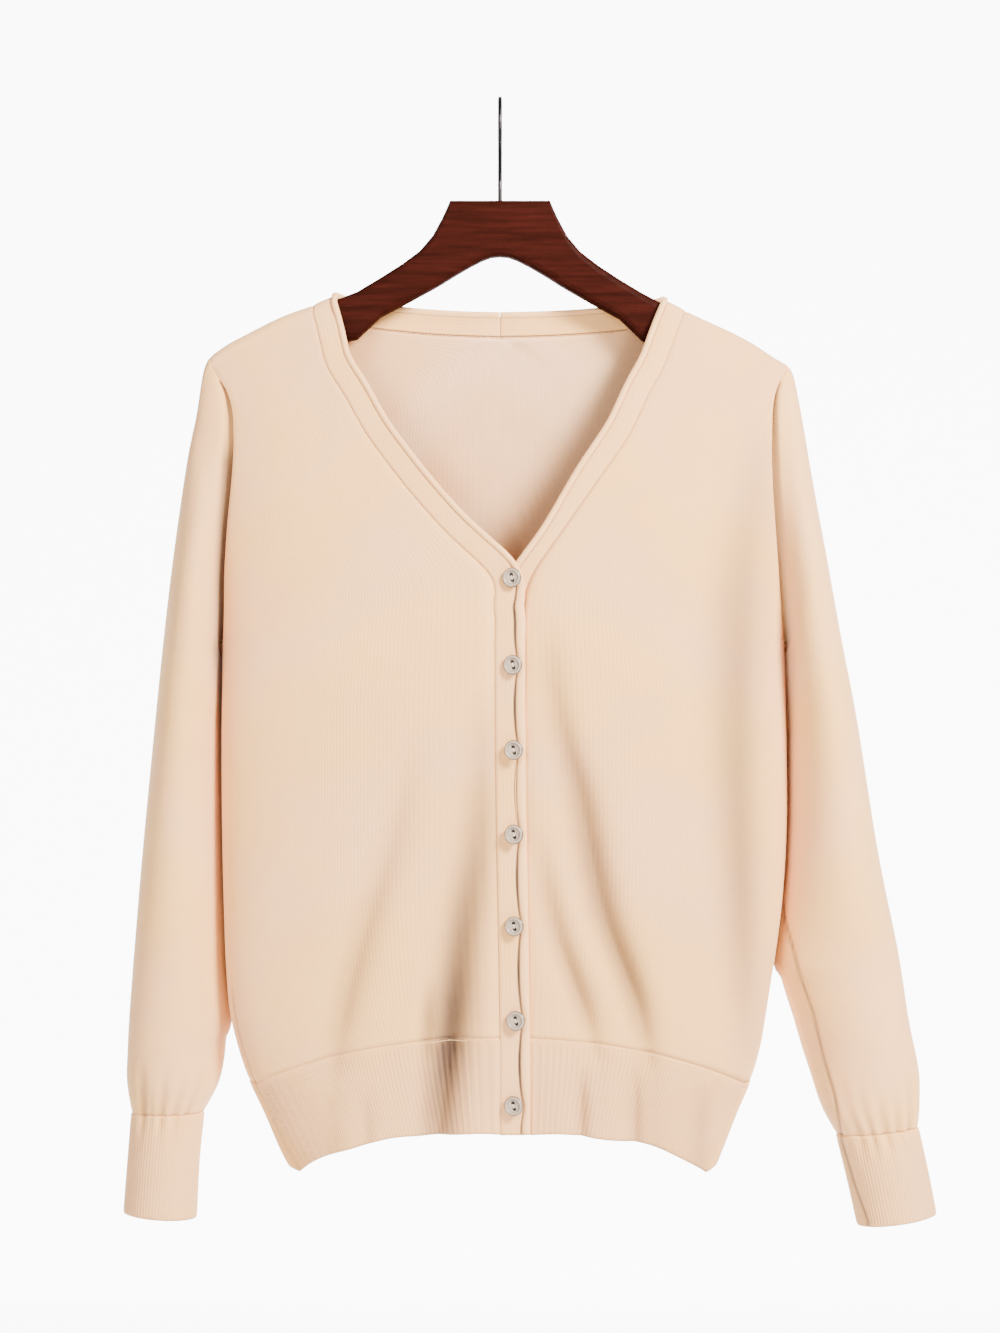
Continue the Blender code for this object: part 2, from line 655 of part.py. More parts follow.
def make_button(number, height, material):
    """A dished button with a raised rim and two holes, face forward."""
    radius, thick = BUTTON_DIAMETER / 2, BUTTON_THICKNESS
    profile = [(0.0, 0.62 * thick), (0.62 * radius, 0.62 * thick), (0.76 * radius, thick),
               (0.9 * radius, thick), (radius, 0.72 * thick), (radius, 0.25 * thick),
               (0.86 * radius, 0.0), (0.0, 0.0)]
    sides = 20
    mesh = bpy.data.meshes.new(f"button_{number}")
    shape = bmesh.new()
    edge = [shape.verts.new((across * MM, 0.0, up * MM)) for across, up in profile]
    outline = [shape.edges.new(pair) for pair in zip(edge, edge[1:])]
    bmesh.ops.spin(shape, geom=edge + outline, axis=(0, 0, 1), cent=(0, 0, 0), steps=sides,
                   angle=2 * math.pi)
    bmesh.ops.remove_doubles(shape, verts=shape.verts, dist=0.01 * MM)
    bmesh.ops.recalc_face_normals(shape, faces=shape.faces)
    shape.to_mesh(mesh)
    shape.free()
    mesh.shade_smooth()
    mesh.set_sharp_from_angle(angle=math.radians(40))
    mesh.materials.append(material)
    button = bpy.data.objects.new(f"button_{number}", mesh)
    garment.objects.link(button)
    turn = math.radians(BUTTON_TURN)
    lift = radius * math.sin(turn) + SEAM_GAP + 0.35
    surface = body_point(1, angle_of(1, BUTTON_X, height), height)
    button.rotation_euler = (math.radians(90), 0.0, -turn)
    button.location = Vector((BUTTON_X, surface[1] - lift, height)) * MM
    hole_gap, hole_radius = 3.0, 0.8
    for order, place in enumerate((-hole_gap / 2, hole_gap / 2)):
        cutter = cylinder_cutter(f"button_{number}_hole_{order}", hole_radius, 4 * thick,
                                 (0, 0, 0), vertices=8)
        cutter.parent = button
        cutter.location = Vector((0.0, place, 0.0)) * MM
        cutter.rotation_euler = (0.0, 0.0, math.radians(11))
        cut(button, cutter)
    return button


def hanger_section(x, top, underside):
    """A ring of points round the hanger at one x: a tall shape with rounded edges."""
    half_height = (top - underside) / 2
    half_thick = HANGER_THICKNESS / 2
    round_up = min(HANGER_EDGE, half_height)
    ring = []
    for quarter in range(4):
        to_back, to_top = ((1, 1), (-1, 1), (-1, -1), (1, -1))[quarter]
        for step in range(4):
            angle = math.radians(90 * quarter + 30 * step)
            y = to_back * (half_thick - HANGER_EDGE) + HANGER_EDGE * math.cos(angle)
            z = to_top * (half_height - round_up) + round_up * math.sin(angle)
            ring.append((x, y, top - half_height + z))
    return np.array(ring)


def make_hanger(material):
    """The wooden hanger, lofted from arm to arm, with a hole for the hook."""
    cloth = RIB_WALL + 4 * SEAM_GAP
    rings = []
    for side in (right, left):
        half = []
        for x, top, underside in HANGER_NECK[1 if side > 0 else 0:]:
            lean = -HANGER_TILT * side * max(x - HANGER_NECK[5][0], 0)
            half.append(hanger_section(side * x, top + lean, underside + lean))
        for x, height in zip(HANGER_ARM_X, HANGER_ARM_HEIGHT):
            top = ridge(side * x) - cloth
            half.append(hanger_section(side * x, top, top - height))
        rings += half[::-1] if side < 0 else half
    count = len(rings[0])
    faces = [list(range(count))]
    for row in range(len(rings) - 1):
        for column in range(count):
            after = (column + 1) % count
            first, second = row * count, (row + 1) * count
            faces.append([first + column, second + column, second + after, first + after])
    faces.append([(len(rings) - 1) * count + column for column in reversed(range(count))])
    hanger = mesh_object("hanger", np.vstack(rings), faces, material)
    hole = cylinder_cutter("stem_hole", HOOK_WIRE / 2 + SEAM_GAP, 2 * STEM_DEPTH,
                           (0, 0, HANGER_TOP_Z))
    cut(hanger, hole)
    return hanger


def solid_from_curve(guide, name, material):
    """A mesh object made from a curve, its caps welded."""
    garment.objects.link(guide)
    bpy.context.view_layer.update()
    evaluated = guide.evaluated_get(bpy.context.evaluated_depsgraph_get())
    mesh = bpy.data.meshes.new_from_object(evaluated)
    mesh.name = name
    shape = bmesh.new()
    shape.from_mesh(mesh)
    bmesh.ops.remove_doubles(shape, verts=shape.verts, dist=0.01 * MM)
    bmesh.ops.recalc_face_normals(shape, faces=shape.faces)
    shape.to_mesh(mesh)
    shape.free()
    mesh.materials.clear()
    mesh.materials.append(material)
    mesh.shade_smooth()
    mesh.set_sharp_from_angle(angle=math.radians(50))
    thing = bpy.data.objects.new(name, mesh)
    thing.matrix_world = guide.matrix_world
    garment.objects.link(thing)
    bpy.data.objects.remove(guide)
    return thing


def make_hook(material):
    """The wire hook, bent in the plane that runs from front to back."""
    radius = HOOK_INNER_RADIUS + HOOK_WIRE / 2
    centre_z = -HOOK_INNER_RADIUS
    foot = HANGER_TOP_Z - STEM_DEPTH + 2 * SEAM_GAP
    straight_top = HANGER_TOP_Z + 8
    points = [(0.0, foot), (0.0, HANGER_TOP_Z), (0.0, straight_top)]
    for step in range(1, 9):
        share = step / 8
        ease = share * share * (3 - 2 * share)
        points.append((radius * ease, straight_top + (centre_z - straight_top) * share))
    for step in range(1, 19):
        angle = math.radians(210 * step / 18)
        points.append((radius * math.cos(angle), centre_z + radius * math.sin(angle)))
    data = bpy.data.curves.new("hook", "CURVE")
    data.dimensions = "3D"
    data.bevel_depth = HOOK_WIRE / 2 * MM
    data.bevel_resolution = 2
    data.use_fill_caps = True
    spline = data.splines.new("POLY")
    spline.points.add(len(points) - 1)
    for point, (y, z) in zip(spline.points, points):
        point.co = (0.0, y * MM, z * MM, 1.0)
    return solid_from_curve(bpy.data.objects.new("hook_wire", data), "hook", material)


for thing in list(bpy.data.objects):
    bpy.data.objects.remove(thing)
garment = bpy.data.collections.new("button_cardigan")
cutters = bpy.data.collections.new("cutters")
bpy.context.scene.collection.children.link(garment)
bpy.context.scene.collection.children.link(cutters)

knit = make_material("fine_knit", KNIT, 0.9)
rib = make_material("rib_knit", RIB, 0.9)
roll = make_material("rolled_trim", TRIM, 0.9)

# Outer faces of the body
right, left = -1, 1
fronts = {right: front_grid(right, NECK_RIGHT), left: underlap(front_grid(left, NECK_LEFT))}
backs = {side: back_grid(side, fronts[side][0, 0, 0]) for side in (right, left)}
front_edges = {right: NECK_RIGHT[-1][0], left: NECK_LEFT[-1][0]}
hems = {side: hem_grid(side, False, fronts[side][-1], front_edges[side], FRONT_RIBS)
        for side in (right, left)}
hems[left][1:] = underlap(hems[left][1:])
back_hems = {side: hem_grid(side, True, backs[side][-1], 0.0, HALF_BACK_RIBS)
             for side in (right, left)}
sleeves = {right: sleeve_grid(right, SLEEVE_RIGHT, SLEEVE_RIGHT_FOLDS),
           left: sleeve_grid(left, SLEEVE_LEFT, SLEEVE_LEFT_FOLDS)}
cuffs = {right: cuff_grid(CUFF_RIGHT, sleeves[right][-1], CUFF_RIBS),
         left: cuff_grid(CUFF_LEFT, sleeves[left][-1], CUFF_RIBS)}
paths = {side: neck_path(hems[side], fronts[side], backs[side]) for side in (right, left)}
frames = {side: path_frames(side, paths[side]) for side in (right, left)}

# Sheets of cloth, with a common normal wherever two of them meet
sheets = {"back": Sheet([backs[right], backs[left]], KNIT_WALL),
          "back_hem": Sheet([back_hems[right], back_hems[left]], RIB_WALL,
                            heights=[rib_heights(back_hems[side]) for side in (right, left)])}
for side, worn in ((right, "right"), (left, "left")):
    sheets[f"{worn}_front"] = Sheet([fronts[side]], KNIT_WALL)
    sheets[f"{worn}_sleeve"] = Sheet([sleeves[side]], KNIT_WALL, closed=True)
    sheets[f"{worn}_front_hem"] = Sheet([hems[side]], RIB_WALL, heights=[rib_heights(hems[side])])
    sheets[f"{worn}_cuff"] = Sheet([cuffs[side]], RIB_WALL, closed=True,
                                   heights=[rib_heights(cuffs[side])])
    sheets[f"{worn}_band"] = Sheet([band_grid(paths[side], *frames[side])], RIB_WALL)
share_seam_normals(sheets.values())
for side, worn in ((right, "right"), (left, "left")):
    level_normals(sheets[f"{worn}_front"], fronts[side][-1])
    level_normals(sheets[f"{worn}_front_hem"], hems[side][0])
    level_normals(sheets["back"], backs[side][-1])
    level_normals(sheets["back_hem"], back_hems[side][0])
    level_normals(sheets[f"{worn}_sleeve"], sleeves[side][-1])
    level_normals(sheets[f"{worn}_cuff"], cuffs[side][0])
for name, sheet in sheets.items():
    sheet.inset(SEAM_GAP / 2)
    ribbed = name.endswith(("hem", "cuff", "band"))
    cloth_object(name, sheet, rib if ribbed else knit)

for side, worn in ((right, "right"), (left, "left")):
    trim_object(f"{worn}_trim", side, paths[side], *frames[side], roll)

pearl = make_material("pearl_button", PEARL, 0.35)
for number, height in enumerate(BUTTON_HEIGHTS, start=1):
    make_button(number, height, pearl)
make_hanger(make_material("red_brown_wood", WOOD, 0.4))
make_hook(make_material("dark_wire", DARK_METAL, 0.4, metallic=1.0))
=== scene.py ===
"""Button cardigan of fine beige knit, buttoned up on a red-brown wooden hanger.

Lengths in the sections are in millimetres and are turned to metres as each mesh is made.
The origin is the seat inside the hook, +X is the wearer's left, -Y the front and +Z up.
"""

import bpy
import numpy as np
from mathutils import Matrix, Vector


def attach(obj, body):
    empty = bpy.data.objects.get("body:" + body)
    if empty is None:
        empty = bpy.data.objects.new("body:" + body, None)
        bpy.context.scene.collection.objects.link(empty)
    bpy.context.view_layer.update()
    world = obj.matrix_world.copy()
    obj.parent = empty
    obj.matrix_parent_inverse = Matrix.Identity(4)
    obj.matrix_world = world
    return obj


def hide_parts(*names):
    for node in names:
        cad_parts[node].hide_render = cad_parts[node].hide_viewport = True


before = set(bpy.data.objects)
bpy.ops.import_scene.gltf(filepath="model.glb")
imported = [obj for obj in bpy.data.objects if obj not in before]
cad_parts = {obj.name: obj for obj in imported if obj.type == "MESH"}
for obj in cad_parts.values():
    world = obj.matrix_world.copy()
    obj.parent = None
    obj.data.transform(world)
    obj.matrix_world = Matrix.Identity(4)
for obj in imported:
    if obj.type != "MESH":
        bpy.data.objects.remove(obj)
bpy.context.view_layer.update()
RIGHT, LEFT = -1, 1
SIDES = ((RIGHT, "right"), (LEFT, "left"))

# ----------------------------------------
# Fronts: the two halves that button together, each one flat piece of fine plain knit. They hang
# from the shoulders, roll round to the side seams and fall in soft folds; the wearer's right one
# laps over the left, which lies a few millimetres behind it.
SHOULDER_RIGHT = np.array([(-205, -181), (-198, -174.8), (-186, -165.9), (-172, -158.4),
                           (-159, -151.6), (-146, -145.6), (-126.5, -138.6), (-107, -130),
                           (-96, -126)], float)
SHOULDER_LEFT = np.array([(96, -127), (107, -132.6), (126, -142.6), (146, -152), (159, -158),
                          (172, -165), (185, -173.6), (197, -181), (205, -187)], float)
# z, half width right, half width left, depth in front, depth behind
BODY = np.array([(-126, 226, 226, 9.4, 9.4), (-150, 218, 218, 13, 15), (-178, 212, 212, 20, 21),
                 (-200, 198, 200, 24.5, 25), (-230, 194, 198, 31, 30),
                 (-260, 192.5, 197, 36, 34), (-312, 190, 195, 42, 39),
                 (-367, 188.4, 193.1, 46, 42), (-435, 189, 194.5, 47, 44),
                 (-496, 188.6, 194.5, 46.5, 44), (-552, 187.3, 190.6, 46, 43),
                 (-595, 185.6, 184.6, 45, 42), (-617, 183.6, 181, 44, 41),
                 (-641, 178.2, 177, 43, 40), (-665, 170, 170, 41.5, 38),
                 (-687, 159.1, 160.5, 40, 36.5), (-711, 147.6, 150.5, 38.5, 35),
                 (-730, 136.7, 142, 37, 34)], float)
# Armholes from the shoulder tip to the underarm: x right, x left, z
ARMHOLE_FRONT = np.array([(-198, 197, -177.8), (-191.5, 191, -189), (-184.2, 186.5, -200),
                          (-179.8, 183.6, -230), (-181.4, 184, -262), (-186.2, 187.6, -312),
                          (-187.2, 190.6, -350), (-188.2, 192.8, -371)], float)
ARMHOLE_BACK = np.array([(-198, 197, -177.8), (-193.5, 193, -189), (-188.5, 189, -202),
                         (-184.5, 186, -230), (-184, 186.5, -262), (-186.6, 188.6, -312),
                         (-187.4, 191, -350), (-188.2, 192.8, -371)], float)
# Where each front meets its band, from the shoulder down to the placket: x, z
NECK = {RIGHT: np.array([(-126.5, -139), (-126.2, -148), (-122.6, -162), (-113.5, -186),
                         (-101, -210), (-87, -232), (-67, -259), (-40, -290.5), (-22, -306.4),
                         (-12.6, -316), (-7.2, -324), (-4.6, -334.7), (-3.8, -349.4),
                         (-3.4, -371)], float),
        LEFT: np.array([(126, -142.6), (122.6, -151), (117.6, -165), (106.5, -187), (94.5, -215),
                        (79, -241), (58, -270), (38, -299), (29, -312), (23.4, -320),
                        (18.5, -329), (15.4, -339), (14, -352), (14, -371)], float)}
ARM_ANGLES = np.array([0, 12, 24, 42, 62, 82, 102, 122, 142, 161, 180], float)
FRONT_DROPS = np.array([0, 2.2, 7.5, 28, 55, 85, 118, 150, 180, 208, 232], float)
# Lower rows: z at the front edge, z at the side seam, how late the row droops
ROWS = np.array([(-410, -410, 1.0), (-455, -455, 1.0), (-500, -502, 1.0), (-545, -551, 1.5),
                 (-580, -594, 1.8), (-608, -630, 2.0), (-632, -666, 2.2)], float)
SIDE_SEAM = np.array([(-371, 0), (-540, 0), (-600, 8), (-666, 17), (-711, 19)], float)
# Each fold is a trough: rows of x, z, half width and depth down its length
FRONT_FOLDS = [[(-9, -390, 14, 0), (-11, -440, 14, 2.6), (-16, -500, 14, 5.2),
                (-26, -560, 14, 7.4), (-33, -625, 14, 9.0), (-42, -700, 13, 8.0)],
               [(-60, -430, 14, 0), (-73, -500, 13, 3.0), (-91, -560, 12, 5.0),
                (-107, -620, 12, 5.4), (-114, -668, 12, 1.0)],
               [(-46, -590, 5, 0), (-49, -622, 5, 3.4), (-50, -650, 5, 1.0)],
               [(29, -350, 10, 0), (38, -420, 11, 4.2), (52, -470, 12, 6.4),
                (68, -545, 12, 7.4), (92, -612, 10, 6.2), (101, -655, 9, 1.0)],
               [(22, -490, 8, 0), (37, -560, 9, 4.6), (54, -608, 9, 5.0), (66, -650, 8, 0.5)],
               [(180, -205, 14, 0), (160, -340, 20, 5.0), (158, -470, 18, 6.0),
                (164, -600, 14, 4.0), (166, -655, 12, 0.5)],
               [(54, -650, 7, 0), (54, -672, 7, 3.0), (54, -710, 7, 4.0)],
               [(90, -650, 7, 0), (90, -672, 7, 2.6), (90, -715, 7, 4.0)],
               [(134, -660, 8, 0), (134, -685, 8, 2.6), (132, -725, 8, 3.6)],
               [(-92, -660, 9, 0), (-90, -690, 9, 2.0), (-92, -725, 9, 2.6)]]
BACK_FOLDS = [[(-60, -320, 16, 0), (-75, -500, 16, 6.0), (-70, -700, 15, 7.0)],
              [(45, -350, 15, 0), (66, -520, 15, 6.0), (62, -700, 14, 7.0)],
              [(-140, -290, 15, 0), (-125, -480, 15, 5.0), (-118, -700, 14, 5.5)],
              [(140, -290, 15, 0), (122, -480, 15, 5.0), (118, -700, 14, 5.5)],
              [(-8, -400, 22, 0), (-4, -560, 20, 4.0), (2, -690, 18, 4.5)]]
SHOULDER_ARC = 9.4
UNDERLAP = 5.4
KNIT_WALL = 1.6
DOWN, ACROSS = 8, 9


def through(places, rows, wanted):
    """Cubic curve through rows at their places, with the mean slope of its neighbours at each."""
    places = np.asarray(places, float)
    rows = np.asarray(rows, float)
    wanted = np.clip(wanted, places[0], places[-1])
    slope = np.gradient(rows, places, axis=0)
    near = np.clip(np.searchsorted(places, wanted, side="right") - 1, 0, len(places) - 2)
    step = (places[near + 1] - places[near]).reshape(wanted.shape + (1,) * (rows.ndim - 1))
    t = (wanted - places[near]).reshape(step.shape) / step
    return ((2 * t**3 - 3 * t**2 + 1) * rows[near] + (t**3 - 2 * t**2 + t) * step * slope[near]
            + (3 * t**2 - 2 * t**3) * rows[near + 1] + (t**3 - t**2) * step * slope[near + 1])


def at_height(table, z, column):
    """A column of a table whose first column is a falling z."""
    return through(-table[:, 0], table[:, column], -np.asarray(z, float))


def half_width(side, z):
    """Half width of the body on one side."""
    return at_height(BODY, z, 1 if side < 0 else 2)


def ridge(x):
    """Height of the shoulder line over x."""
    x = np.asarray(x, float)
    return np.where(x < 0, through(SHOULDER_RIGHT[:, 0], SHOULDER_RIGHT[:, 1], x),
                    through(SHOULDER_LEFT[:, 0], SHOULDER_LEFT[:, 1], x))


def fold_depth(folds, x, z, crease=0.0, sharp=2.2):
    """Sum of the troughs at a point: each has a bell section about its own falling line.

    The crease adds a share of the depth again in a bell that is sharper by the given factor.
    """
    total = np.zeros(np.broadcast(x, z).shape)
    for fold in folds:
        rows = np.array(fold, float)[:, [1, 0, 2, 3]]
        away = (x - at_height(rows, z, 1)) / at_height(rows, z, 2)
        bell = np.exp(-away**2) + crease * np.exp(-(away * sharp) ** 2)
        total += np.clip(at_height(rows, z, 3), 0, None) * bell
    return total


def painted_fold_shade(grid):
    """Painted shade in the folds of the fronts, from their depth; less by the placket's foot.

    Low on the left, where the cloth turns from the light, a little more painted shade lies all over.
    """
    x, z = grid[..., 0], grid[..., 2]
    depth = fold_depth(FRONT_FOLDS, x, z, 0.3, 1.4)
    share = np.interp(x, [-70, -50, 0, 20], [0.6, 1, 1, 0.85]) * np.interp(z, [-700, -640], [0.58, 1])
    painted_flank_shade = 0.06 * np.clip((x - 40) / 80, 0, 1) * np.clip((-480 - z) / 180, 0, 1)
    return np.clip(depth / 12.5, 0, 1) * share + painted_flank_shade


def body_face(side, angle, z):
    """Outer face of the body at an angle from the front (0) by the side (90) to the back (180).

    x is the half width times sin^(2/3) and y the depth times cos^(2/3), which rolls softly round
    the side; near the shoulder line the depth is held to a quarter arc that spreads as it falls.
    """
    turn = np.radians(np.clip(angle, 0, 179.999))
    x = side * half_width(side, z) * np.sin(turn) ** (2 / 3)
    front = angle < 90
    depth = np.where(front, at_height(BODY, z, 3), at_height(BODY, z, 4))
    depth = np.maximum(depth * np.abs(np.cos(turn)) ** (2 / 3), 0.01)
    drop = np.maximum(ridge(x) - z, 0)
    arc = np.sqrt(np.maximum(SHOULDER_ARC**2 - (SHOULDER_ARC - drop) ** 2, 1e-4))
    limit = np.where(drop < SHOULDER_ARC, arc, SHOULDER_ARC + 0.40 * (drop - SHOULDER_ARC))
    depth = (depth**-5 + limit**-5) ** (-1 / 5)
    folds = np.where(front, fold_depth(FRONT_FOLDS, x, z, 0.5), fold_depth(BACK_FOLDS, x, z))
    depth = np.maximum(depth - folds * np.cos(turn) ** 2, 0)
    return np.stack([x, np.where(front, -depth, depth), z + 0 * x], axis=-1)


def angle_at(side, x, z, back):
    """Angle of the body point that has the given x."""
    share = np.clip(side * np.asarray(x) / half_width(side, z), 0, 1)
    angle = np.degrees(np.arcsin(share**1.5))
    return 180 - angle if back else angle


def side_seam_angle(z):
    """Angle of the side seam, which comes forward towards the hem."""
    share = at_height(SIDE_SEAM, z, 1) / at_height(BODY, z, 3)
    return np.degrees(np.arccos(np.clip(share, 0, 1) ** 1.5))


def lengths(path):
    """Distance along a path at each of its points."""
    return np.concatenate([[0], np.cumsum(np.linalg.norm(np.diff(path, axis=0), axis=1))])


def read_path(wanted, places, path):
    """Points of a path between its own, each column read in straight lines."""
    return np.stack([np.interp(wanted, places, column) for column in path.T], axis=1)


def edge_points(table, heights):
    """x of a drawn edge at the given heights."""
    steps = lengths(table)
    path = through(steps, table, np.linspace(0, steps[-1], 600))
    return np.interp(-heights, -path[:, 1], path[:, 0])


def armhole_ends(side, back):
    """x and z where the armhole crosses each row, evenly turned from tip to underarm."""
    table = (ARMHOLE_BACK if back else ARMHOLE_FRONT)[:, [0 if side < 0 else 1, 2]].copy()
    table[0, 1] = ridge(table[0, 0])
    share = (1 - np.cos(np.radians(ARM_ANGLES))) / 2
    z = table[0, 1] + (table[-1, 1] - table[0, 1]) * share
    x = edge_points(table, z)
    z[0] = ridge(x[0])
    return x, z


def upper_rows(side, back, start_x, start_z):
    """Angle and height over the rows from the shoulder to the underarm."""
    end_x, end_z = armhole_ends(side, back)
    first = angle_at(side, start_x, start_z, back)
    last = angle_at(side, end_x, end_z, back)
    spread = np.sin(np.radians(np.linspace(first, last, 13, axis=1))) ** (2 / 3)
    share = (spread - spread[:, :1]) / (spread[:, -1:] - spread[:, :1])
    x = start_x[:, None] + (end_x - start_x)[:, None] * share
    bow = ridge(x) - ridge(start_x)[:, None] - (ridge(end_x) - ridge(start_x))[:, None] * share
    fade = np.clip(1 - np.arange(len(x)) / 5, 0, 1)[:, None]
    z = start_z[:, None] + (end_z - start_z)[:, None] * share + bow * fade
    return angle_at(side, x, z, back), z


def lower_rows(side, back, edge_x, rows):
    """Angle and height over rows below the underarm, which droop towards the side seam."""
    first = angle_at(side, edge_x, rows[:, 0], back)
    angle = np.linspace(first, side_seam_angle(rows[:, 1]), 13, axis=1)
    reach = np.sin(np.radians(angle)) ** (2 / 3)
    if back:
        reach = np.where(angle < 90, 2 - reach, reach)
    share = (reach / reach[:, -1:]) ** rows[:, 2:3]
    return angle, rows[:, :1] + (rows[:, 1:2] - rows[:, :1]) * share


def side_line(side, grid):
    """Nearness to the right side seam where it shows low on the front: a bell 0.9 mm wide."""
    inset = at_height(BODY, grid[..., 2], 1) - 4.5 - np.abs(grid[..., 0])
    near = np.exp(-((inset / 0.9) ** 2)) * np.clip((-590 - grid[..., 2]) / 20, 0, 1)
    return near * (grid[..., 1] < 0) * (side == RIGHT)


def front_edge(side, z):
    """x where a front meets its band below the neck: the placket drifts a little as it falls."""
    share = np.clip((-371 - z) / 350, 0, 1)
    return NECK[side][-1, 0] + 4.0 * share**2 * (3 - 2 * share)


def fine(coarse, down, across):
    """A coarse table of rows and columns, read in between by cubic curves both ways."""
    rows, columns = coarse.shape
    table = through(np.arange(rows), coarse, np.linspace(0, rows - 1, (rows - 1) * down + 1))
    wanted = np.linspace(0, columns - 1, (columns - 1) * across + 1)
    return through(np.arange(columns), table.T, wanted).T


def panel_face(side, angle, z, down, across):
    """Outer face of a panel over the fine rows; its first row lies on the shoulder line."""
    half = half_width(side, z)
    line = ridge(side * half * np.sin(np.radians(angle)) ** (2 / 3))
    wide, high = np.clip(fine(angle, down, across), 0, 180), fine(z, down, across)
    half = half_width(side, high)
    settle = np.exp(-np.arange(high.shape[0]) / down)[:, None]
    lift = ridge(side * half * np.sin(np.radians(wide)) ** (2 / 3)) - fine(line, down, across)
    grid = body_face(side, wide, high + lift * settle)
    grid[0, :, 1] = 0
    grid[0, :, 2] = ridge(grid[0, :, 0])
    return grid


def behind(grid):
    """Sets the left front's middle back behind the right one, fading towards its side."""
    near = np.exp(-((grid[..., 0] / 20) ** 2)) * np.clip((-240 - grid[..., 2]) / 60, 0, 1)
    return grid + np.stack([0 * near, UNDERLAP * near, 0 * near], axis=-1)


def quads(rows, columns, start):
    """Corners of every cell of a grid, numbered from start."""
    index = start + np.arange(rows * columns).reshape(rows, columns)
    cells = [index[:-1, :-1], index[1:, :-1], index[1:, 1:], index[:-1, 1:]]
    return np.stack(cells, axis=-1).reshape(-1, 4)


def tube_quads(rows, columns, start):
    """Corners of every cell of a grid that closes on itself sideways, numbered from start."""
    index = start + np.arange(rows * columns).reshape(rows, columns)
    after = np.roll(index, -1, axis=1)
    return np.stack([index[:-1], index[1:], after[1:], after[:-1]], axis=-1).reshape(-1, 4)


def hang(mesh, node):
    """Puts a finished mesh in the scene as a piece of the same name, in place of the CAD node."""
    piece = bpy.data.objects.new(mesh.name, mesh)
    bpy.context.scene.collection.objects.link(piece)
    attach(piece, "root")
    if node:
        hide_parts(node)
    return piece


def cloth(node, grids, wall, material, facing, relief, mark, inside=None, reverse=None):
    """A closed wall of cloth from grids of its outer face, welded where their points meet.

    Normals are the mean of the faces round a point. Relief is added along the normals, and the
    inner face lies one wall further in, with the reverse as its material if given. facing is a
    direction that the outer face looks to, or the middle line of a tube that it looks away from.
    The UV map holds metres across and down the cloth, and mark, the amount of painted shade, is
    kept as an attribute, with inside for the inner face if given.
    """
    points = np.concatenate([grid.reshape(-1, 3) for grid in grids])
    faces, start, flat = [], 0, []
    for order, grid in enumerate(grids):
        rows, columns = grid.shape[:2]
        cells = quads(rows, columns, start)
        faces.append(cells if order == 0 else cells[:, ::-1])
        wide = np.linalg.norm(np.diff(grid, axis=1), axis=2).sum(axis=1).mean()
        tall = np.linalg.norm(np.diff(grid, axis=0), axis=2).mean(axis=1)
        across, down = np.meshgrid(np.linspace(0, wide, columns),
                                   np.concatenate([[0], np.cumsum(tall)]))
        flat.append(np.stack([across if order == 0 else -across, -down], axis=-1).reshape(-1, 2))
        start += rows * columns
    faces, flat = np.concatenate(faces), np.concatenate(flat) * 0.001
    height, marked, within = [np.concatenate([part.ravel() for part in parts])
                              for parts in (relief, mark, inside or mark)]
    _, kept, weld = np.unique(np.round(points, 3) + 0.0, axis=0, return_index=True,
                              return_inverse=True)
    weld = weld.ravel()
    corner_uv = flat[faces]
    faces = weld[faces]
    points, height, marked, within = points[kept], height[kept], marked[kept], within[kept]
    normal = np.cross(points[faces[:, 2]] - points[faces[:, 0]],
                      points[faces[:, 3]] - points[faces[:, 1]])
    outwards = np.array(facing)
    if outwards.ndim == 2:
        centre = points[faces].mean(axis=1)
        outwards = centre * (1, 1, 0)
        outwards[:, 0] -= np.interp(-centre[:, 2], -facing[:, 2], facing[:, 0])
    if (normal * outwards).sum() < 0:
        faces, corner_uv, normal = faces[:, ::-1], corner_uv[:, ::-1], -normal
    normals = np.zeros_like(points)
    np.add.at(normals, faces, normal[:, None, :])
    normals /= np.maximum(np.linalg.norm(normals, axis=1, keepdims=True), 1e-9)
    ends = np.stack([faces, np.roll(faces, -1, axis=1)], axis=-1).reshape(-1, 2)
    _, first, uses = np.unique(np.sort(ends, axis=1), axis=0, return_index=True,
                               return_counts=True)
    rim = ends[first[uses == 1]]
    count = len(points)
    outer = points + normals * height[:, None]
    inner = points - normals * wall
    shell = np.concatenate([faces, faces[:, ::-1] + count,
                            np.stack([rim[:, 1], rim[:, 0], rim[:, 0] + count,
                                      rim[:, 1] + count], axis=1)])
    rim_uv = np.zeros((len(rim), 4, 2))
    mesh = bpy.data.meshes.new(f"{node}_cloth")
    mesh.from_pydata((np.concatenate([outer, inner]) * 0.001).tolist(), [], shell.tolist())
    layer = mesh.uv_layers.new(name="cloth")
    layer.data.foreach_set("uv", np.concatenate([corner_uv, corner_uv[:, ::-1],
                                                 rim_uv]).ravel())
    kept_mark = mesh.attributes.new("painted_shade", "FLOAT", "POINT")
    kept_mark.data.foreach_set("value", np.concatenate([marked, within]))
    mesh.shade_smooth()
    mesh.materials.append(material)
    if reverse:
        mesh.materials.append(reverse)
        mesh.polygons.foreach_set("material_index", np.repeat(
            [0, 1, 0], [len(faces), len(faces), len(rim)]).astype(np.int32))
    return hang(mesh, node)


def seam_dip(grid, edges, depth, reach):
    """How far a stitched edge draws the face in: a bell that starts at the edge itself."""
    across = np.linalg.norm(np.diff(grid, axis=1), axis=2)
    across = np.pad(np.cumsum(across, axis=1), ((0, 0), (1, 0)))
    down = np.linalg.norm(np.diff(grid, axis=0), axis=2)
    down = np.pad(np.cumsum(down, axis=0), ((1, 0), (0, 0)))
    away = {"first": across, "last": across[:, -1:] - across, "top": down,
            "bottom": down[-1:] - down}
    return -depth * sum(np.exp(-((away[edge] / reach) ** 2)) for edge in edges)


